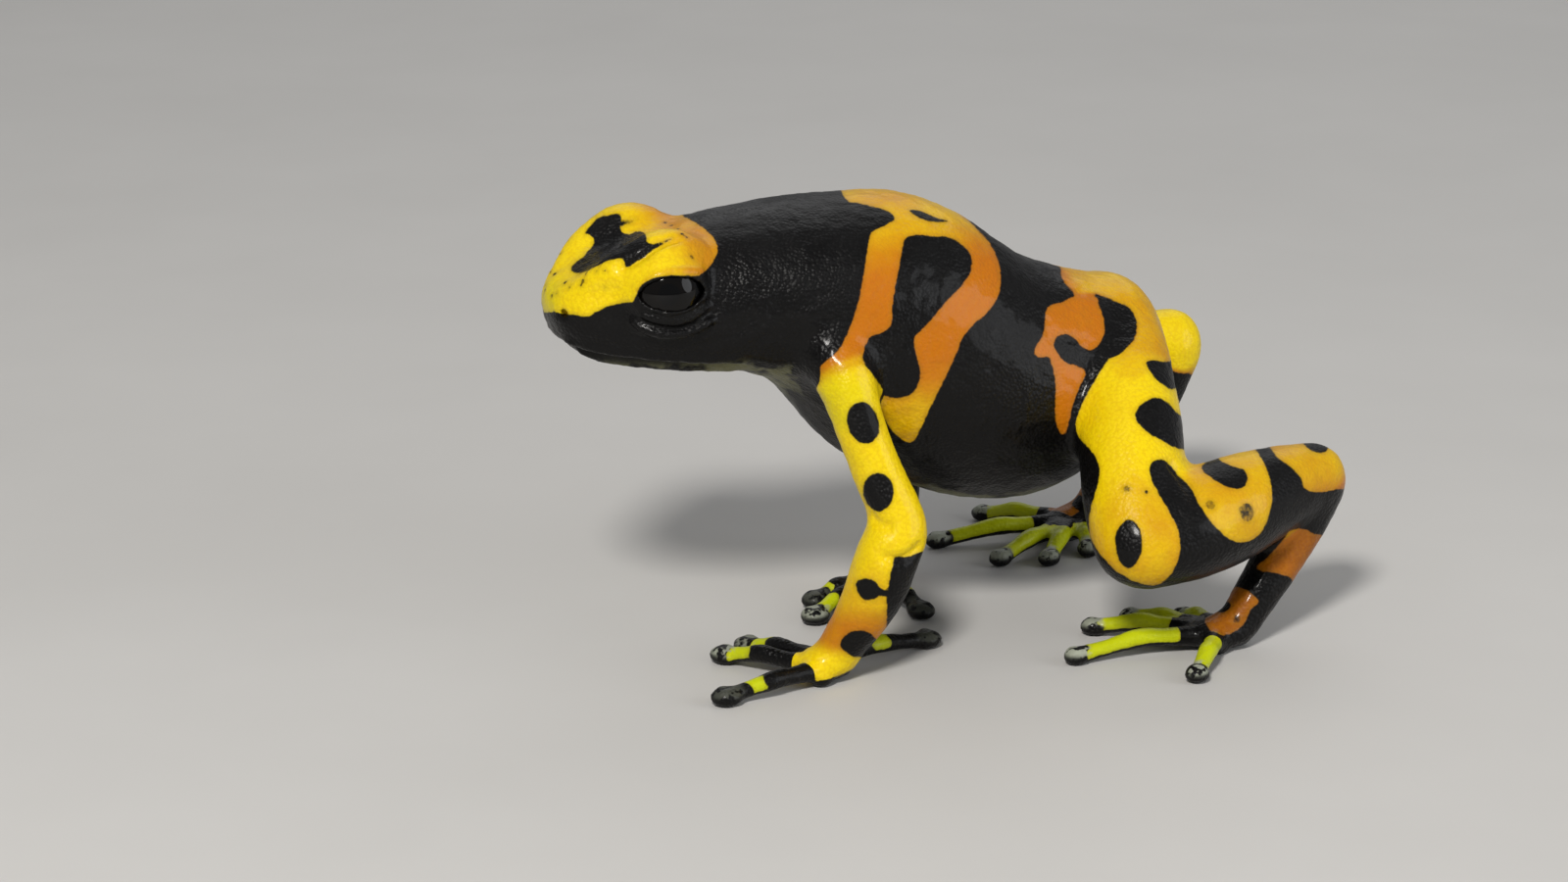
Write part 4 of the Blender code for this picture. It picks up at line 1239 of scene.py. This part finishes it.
# %% group helpers
def group_of(name, inputs, outputs):
    """A new node group. An input with no starting value is a place, and all others are numbers."""
    group = bpy.data.node_groups.new(name, "ShaderNodeTree")
    for title, value in inputs.items():
        kind = "NodeSocketVector" if value is None else "NodeSocketFloat"
        made = group.interface.new_socket(name=title, in_out="INPUT", socket_type=kind)
        if value is not None:
            made.default_value = value
    for title in outputs:
        group.interface.new_socket(name=title, in_out="OUTPUT", socket_type="NodeSocketFloat")
    return group, group.nodes.new("NodeGroupInput").outputs, group.nodes.new("NodeGroupOutput").inputs


def effect(tree, group, inputs):
    """Places a node group in a tree and feeds its inputs."""
    node = tree.nodes.new("ShaderNodeGroup")
    node.node_tree = group
    for title, value in inputs.items():
        feed(node.inputs[title], value)
    return node.outputs


# %% [markdown]
# ## Granules and lively edges
# The granule group lays small domes over coarser waves, and also hands out the pits between the domes and a
# slow mottle. The edge group shakes the distance to a mark a little before it cuts it off, because no edge on
# a living skin is a drawn line, and it also hands out the narrow rim just inside the mark.

# %% granule group
grain, grain_in, grain_out = group_of(
    "skin_granules", {"Position": None, "Granules per metre": 6000.0}, ("Height", "Pits", "Mottle")
)
# how much coarser than the granules the waves and the mottle are
WAVE_SHARE, MOTTLE_SHARE = 0.32, 0.06
grain_place, per_metre = grain_in["Position"], grain_in["Granules per metre"]
cells = grain.nodes.new("ShaderNodeTexVoronoi")
cells.feature = "SMOOTH_F1"
for title, value in (("Smoothness", 0.35), ("Vector", grain_place), ("Scale", per_metre)):
    feed(cells.inputs[title], value)
waves = noise_node(grain, grain_place, math_node(grain, "MULTIPLY", per_metre, WAVE_SHARE), 3.0, 0.6)
slow = noise_node(grain, grain_place, math_node(grain, "MULTIPLY", per_metre, MOTTLE_SHARE), 3.0, 0.55)
domes = math_node(grain, "SUBTRACT", 1.0, cells.outputs["Distance"])
feed(grain_out["Height"], math_node(grain, "MULTIPLY_ADD", waves, 0.8, domes))
feed(grain_out["Pits"], steps_between(grain, cells.outputs["Distance"], 0.42, 0.72))
feed(grain_out["Mottle"], slow)
print("granule group nodes:", len(grain.nodes))

# %% lively edge group
edge, edge_in, edge_out = group_of(
    "mark_edge", {"Position": None, "Distance": 0.0, "Wobble": 0.16, "Softness": 0.05}, ("Mask", "Rim")
)
RIPPLES_PER_METRE = 2600.0
RIM_WIDTH = 0.28
ripple = noise_node(edge, edge_in["Position"], RIPPLES_PER_METRE, 2.0, 0.6)
ripple = math_node(edge, "SUBTRACT", ripple, 0.5)
shaken = math_node(edge, "MULTIPLY_ADD", ripple, edge_in["Wobble"], edge_in["Distance"])
scaled = math_node(edge, "DIVIDE", shaken, edge_in["Softness"])
feed(edge_out["Mask"], steps_between(edge, scaled, -1.0, 1.0))
feed(edge_out["Rim"], steps_between(edge, shaken, RIM_WIDTH, 0.0))
print("edge group nodes:", len(edge.nodes))

# %% [markdown]
# ## The skin material
# Under its moisture the skin is matt and finely granular: the black is nearly without light, and the yellow
# glows, with orange painted into its pits as their shade. One glossy surface would look like plastic, so the
# matt colour stays below and a thin clear coat gives the small wet highlights.

# %% skin colours
SKIN_BLACK = (0.0022, 0.0020, 0.0020, 1.0)
BLACK_SHEEN = (0.0050, 0.0046, 0.0048, 1.0)
LEMON = (0.84, 0.615, 0.002, 1.0)
DEEP_ORANGE = (0.50, 0.146, 0.002, 1.0)
# orange painted into the pits between the granules as their shade
PIT_SHADE_ORANGE = (0.50, 0.19, 0.002, 1.0)
TOE_GREEN = (0.52, 0.57, 0.004, 1.0)
DISC_GREY = (0.36, 0.38, 0.30, 1.0)
BELLY_DULL = (0.17, 0.17, 0.09, 1.0)
# a darker rust, which paints the shade on the tarsus and the foot
RUST_AND_SHADE = (0.19, 0.058, 0.003, 1.0)
OLIVE_RIM = (0.20, 0.11, 0.004, 1.0)
GRANULES_PER_METRE = 5200.0


def material(name):
    """A new material, its node tree, its shader's sockets and the place of each point on the object."""
    made = bpy.data.materials.new(name)
    made.use_nodes = True
    nodes = made.node_tree.nodes
    place = nodes.new("ShaderNodeTexCoord").outputs["Object"]
    return made, made.node_tree, nodes["Principled BSDF"].inputs, place


def value_of(tree, name):
    """The values that the mesh keeps under a name."""
    node = tree.nodes.new("ShaderNodeAttribute")
    node.attribute_name = name
    return node.outputs["Fac"]


paint_material, tree, shader, where = material("frog_skin")
granules = effect(tree, grain, {"Position": where, "Granules per metre": GRANULES_PER_METRE})
marks = effect(tree, edge, {"Position": where, "Distance": value_of(tree, "paint")})
print("sockets of the two effects:", granules.keys() + marks.keys())

# %% bright and dark skin
# lemon to orange with the warmth, then rust as painted shade, orange painted shade in the pits, green toes
# and a dull rim
mottle = math_node(tree, "SUBTRACT", granules["Mottle"], 0.5)
toned = math_node(tree, "MULTIPLY_ADD", mottle, 0.7, value_of(tree, "warmth"))
bright = blend_colours(tree, steps_between(tree, toned, 0.0, 1.0), LEMON, DEEP_ORANGE)
for share, colour in (
    (steps_between(tree, toned, 1.0, 1.8), RUST_AND_SHADE),
    (math_node(tree, "MULTIPLY", granules["Pits"], 0.16), PIT_SHADE_ORANGE),
    (value_of(tree, "green"), TOE_GREEN),
    (math_node(tree, "MULTIPLY", marks["Rim"], 0.25), OLIVE_RIM),
):
    bright = blend_colours(tree, share, bright, colour)

# black, lighter on top of the granules, with dull blotches on the belly
BLOTCHES_PER_METRE, FLAKES_PER_METRE = 420.0, 1900.0
dark = blend_colours(tree, steps_between(tree, granules["Height"], 1.0, 1.5), SKIN_BLACK, BLACK_SHEEN)
blotches = steps_between(tree, noise_node(tree, where, BLOTCHES_PER_METRE, 3.0, 0.6), 0.46, 0.56)
blotches = math_node(tree, "MULTIPLY", blotches, value_of(tree, "under"))
dark = blend_colours(tree, math_node(tree, "MULTIPLY", blotches, 0.85), dark, BELLY_DULL)

skin_colour = blend_colours(tree, marks["Mask"], dark, bright)
flakes = steps_between(tree, noise_node(tree, where, FLAKES_PER_METRE), 0.42, 0.5)
pale_disc = math_node(tree, "MULTIPLY", flakes, value_of(tree, "pale"))
feed(shader["Base Color"], blend_colours(tree, pale_disc, skin_colour, DISC_GREY))
print("nodes for the colour:", len(tree.nodes))

# %% wetness and grain
DAMP, DRY = 0.36, 0.52
PATCHES_PER_METRE = 260.0
GRAIN_HEIGHT = 0.00006

wet_patches = noise_node(tree, where, PATCHES_PER_METRE, 3.0, 0.6)
feed(shader["Roughness"], steps_between(tree, wet_patches, 0.35, 0.65, DAMP, DRY))
bump = tree.nodes.new("ShaderNodeBump")
black_is_rougher = math_node(tree, "MULTIPLY_ADD", marks["Mask"], -0.35, 1.0)
feed(bump.inputs["Strength"], 0.8)
feed(bump.inputs["Distance"], GRAIN_HEIGHT)
feed(bump.inputs["Height"], math_node(tree, "MULTIPLY", granules["Height"], black_is_rougher))
feed(shader["Normal"], bump.outputs["Normal"])
feed(shader["Specular IOR Level"], 0.14)
feed(shader["Coat Weight"], math_node(tree, "MULTIPLY_ADD", marks["Mask"], 0.1, 0.13))
feed(shader["Coat Roughness"], 0.12)
finished.materials.append(paint_material)
print("skin material nodes:", len(tree.nodes))

# %% [markdown]
# ## The eyes
# The eye is almost black all over, and what one sees of it is its gloss. It is a ball with a slightly raised
# front, like a cornea, and only a faint brown ring tells the iris from the pupil. A clear shell in front
# could be the cornea, but on so dark an eye a clear coat on the same ball looks alike and is simpler.

# %% eye material
PUPIL_BLACK = (0.0012, 0.0012, 0.0014, 1.0)
IRIS_BROWN = (0.0035, 0.0024, 0.0016, 1.0)
WETTEST, DRIEST = 0.05, 0.11
STREAKS_PER_METRE, TEARS_PER_METRE = 3200.0, 500.0

eye_material, eye_tree, eye_shader, eye_place = material("frog_eye")
iris_ring = steps_between(eye_tree, value_of(eye_tree, "iris"), 0.3, 0.7)
streaks = noise_node(eye_tree, eye_place, STREAKS_PER_METRE, 4.0, 0.65)
streaks = math_node(eye_tree, "MULTIPLY", iris_ring, streaks)
feed(eye_shader["Base Color"], blend_colours(eye_tree, streaks, PUPIL_BLACK, IRIS_BROWN))
tears = noise_node(eye_tree, eye_place, TEARS_PER_METRE)
feed(eye_shader["Roughness"], steps_between(eye_tree, tears, 0.3, 0.7, WETTEST, DRIEST))
feed(eye_shader["Specular IOR Level"], 0.1)
feed(eye_shader["Coat Weight"], 0.3)
feed(eye_shader["Coat Roughness"], 0.03)
print("eye material nodes:", len(eye_tree.nodes))

# %% eyes
GLOSSY_EYE = 2.12
CORNEA_RISE = 0.2
GAZE = (-0.22, 0.95, 0.1)

eyes = []
for side, word in ((-1, "left"), (1, "right")):
    bm = bmesh.new()
    bmesh.ops.create_uvsphere(bm, u_segments=96, v_segments=64, radius=GLOSSY_EYE)
    gaze = Vector(sided(GAZE, side)).normalized()
    iris = []
    for vert in bm.verts:
        facing = vert.co.normalized().dot(gaze)
        iris.append(float(ease(facing, 0.62, 0.9) * ease(facing, 0.985, 0.95)))
        vert.co *= 1 + CORNEA_RISE / GLOSSY_EYE * float(ease(facing, 0.45, 0.92))
        vert.co = (vert.co + Vector(sided(EYE_AT, side)) + Vector(SHIFT)) * MM
    mesh = kept(bm, "glossy_eye_" + word)
    store(mesh, "iris", iris)
    mesh.shade_smooth()
    mesh.materials.append(eye_material)
    eyes.append(shown("glossy_eye_" + word, mesh))
print("eye pieces:", [eye.name for eye in eyes])

# %% [markdown]
# ## Standing in for the solids
# The skin shows in place of every flesh solid and the glossy eyes in place of the plain ones.
# All of them ride on the one body, because the model has no joints.

# %% ride and replace
flesh = [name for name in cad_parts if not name.startswith("eye_")]
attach(skin, "root")
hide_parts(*flesh)
for eye, word in zip(eyes, ("left", "right")):
    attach(eye, "root")
    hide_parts("eye_" + word)
print("skin stands for", len(flesh), "solids")

# %% [markdown]
# ## A plain studio
# The floor is wide and pale with faint clouds, as a sheet of card is. Only the frog has strong colours.

# %% floor
FLOOR_REACH = 1.5
CLOUDS_PER_METRE = 40.0
FLOOR_TONES = ((0.56, 0.55, 0.53, 1.0), (0.62, 0.61, 0.59, 1.0))

floor_mesh = bpy.data.meshes.new("studio_floor")
corners = [(x * FLOOR_REACH, y * FLOOR_REACH, 0) for x, y in ((-1, -1), (1, -1), (1, 1), (-1, 1))]
floor_mesh.from_pydata(corners, [], [(0, 1, 2, 3)])
floor_material, floor_tree, floor_shader, floor_place = material("studio_floor")
clouds = noise_node(floor_tree, floor_place, CLOUDS_PER_METRE, 3.0, 0.6)
feed(floor_shader["Base Color"], blend_colours(floor_tree, clouds, *FLOOR_TONES))
feed(floor_shader["Roughness"], 0.7)
floor_mesh.materials.append(floor_material)
floor = shown("studio_floor", floor_mesh)
print("floor side in m:", 2 * FLOOR_REACH)

# %% [markdown]
# ## Soft light
# One soft key light from the upper left makes the wet highlights, a broad fill opens the shade under the
# belly, and a light from behind parts the black back from the room. A dim pale room does the rest.

# %% lights
middle = (cad_low + cad_high) / 2


def soft_light(name, offset, size, power, colour=(1.0, 1.0, 1.0)):
    """A round lamp at an offset from the middle of the frog, aimed at it."""
    lamp = bpy.data.lights.new(name, "AREA")
    lamp.shape = "DISK"
    lamp.size, lamp.energy, lamp.color = size, power, colour
    made = shown(name, lamp)
    made.location = middle + Vector(offset)
    made.rotation_euler = (-Vector(offset)).to_track_quat("-Z", "Y").to_euler()


soft_light("key", (-0.16, -0.24, 0.26), 0.07, 1.2, (1.0, 0.97, 0.93))
soft_light("fill", (0.30, -0.26, 0.12), 0.30, 0.55, (0.95, 0.97, 1.0))
soft_light("back", (0.14, 0.30, 0.30), 0.40, 0.28)
room = bpy.data.worlds.new("pale_room")
room.use_nodes = True
backdrop = room.node_tree.nodes["Background"].inputs
feed(backdrop["Color"], (0.80, 0.81, 0.83, 1.0))
feed(backdrop["Strength"], 0.30)
bpy.context.scene.world = room
bpy.context.scene.view_settings.view_transform = "Standard"
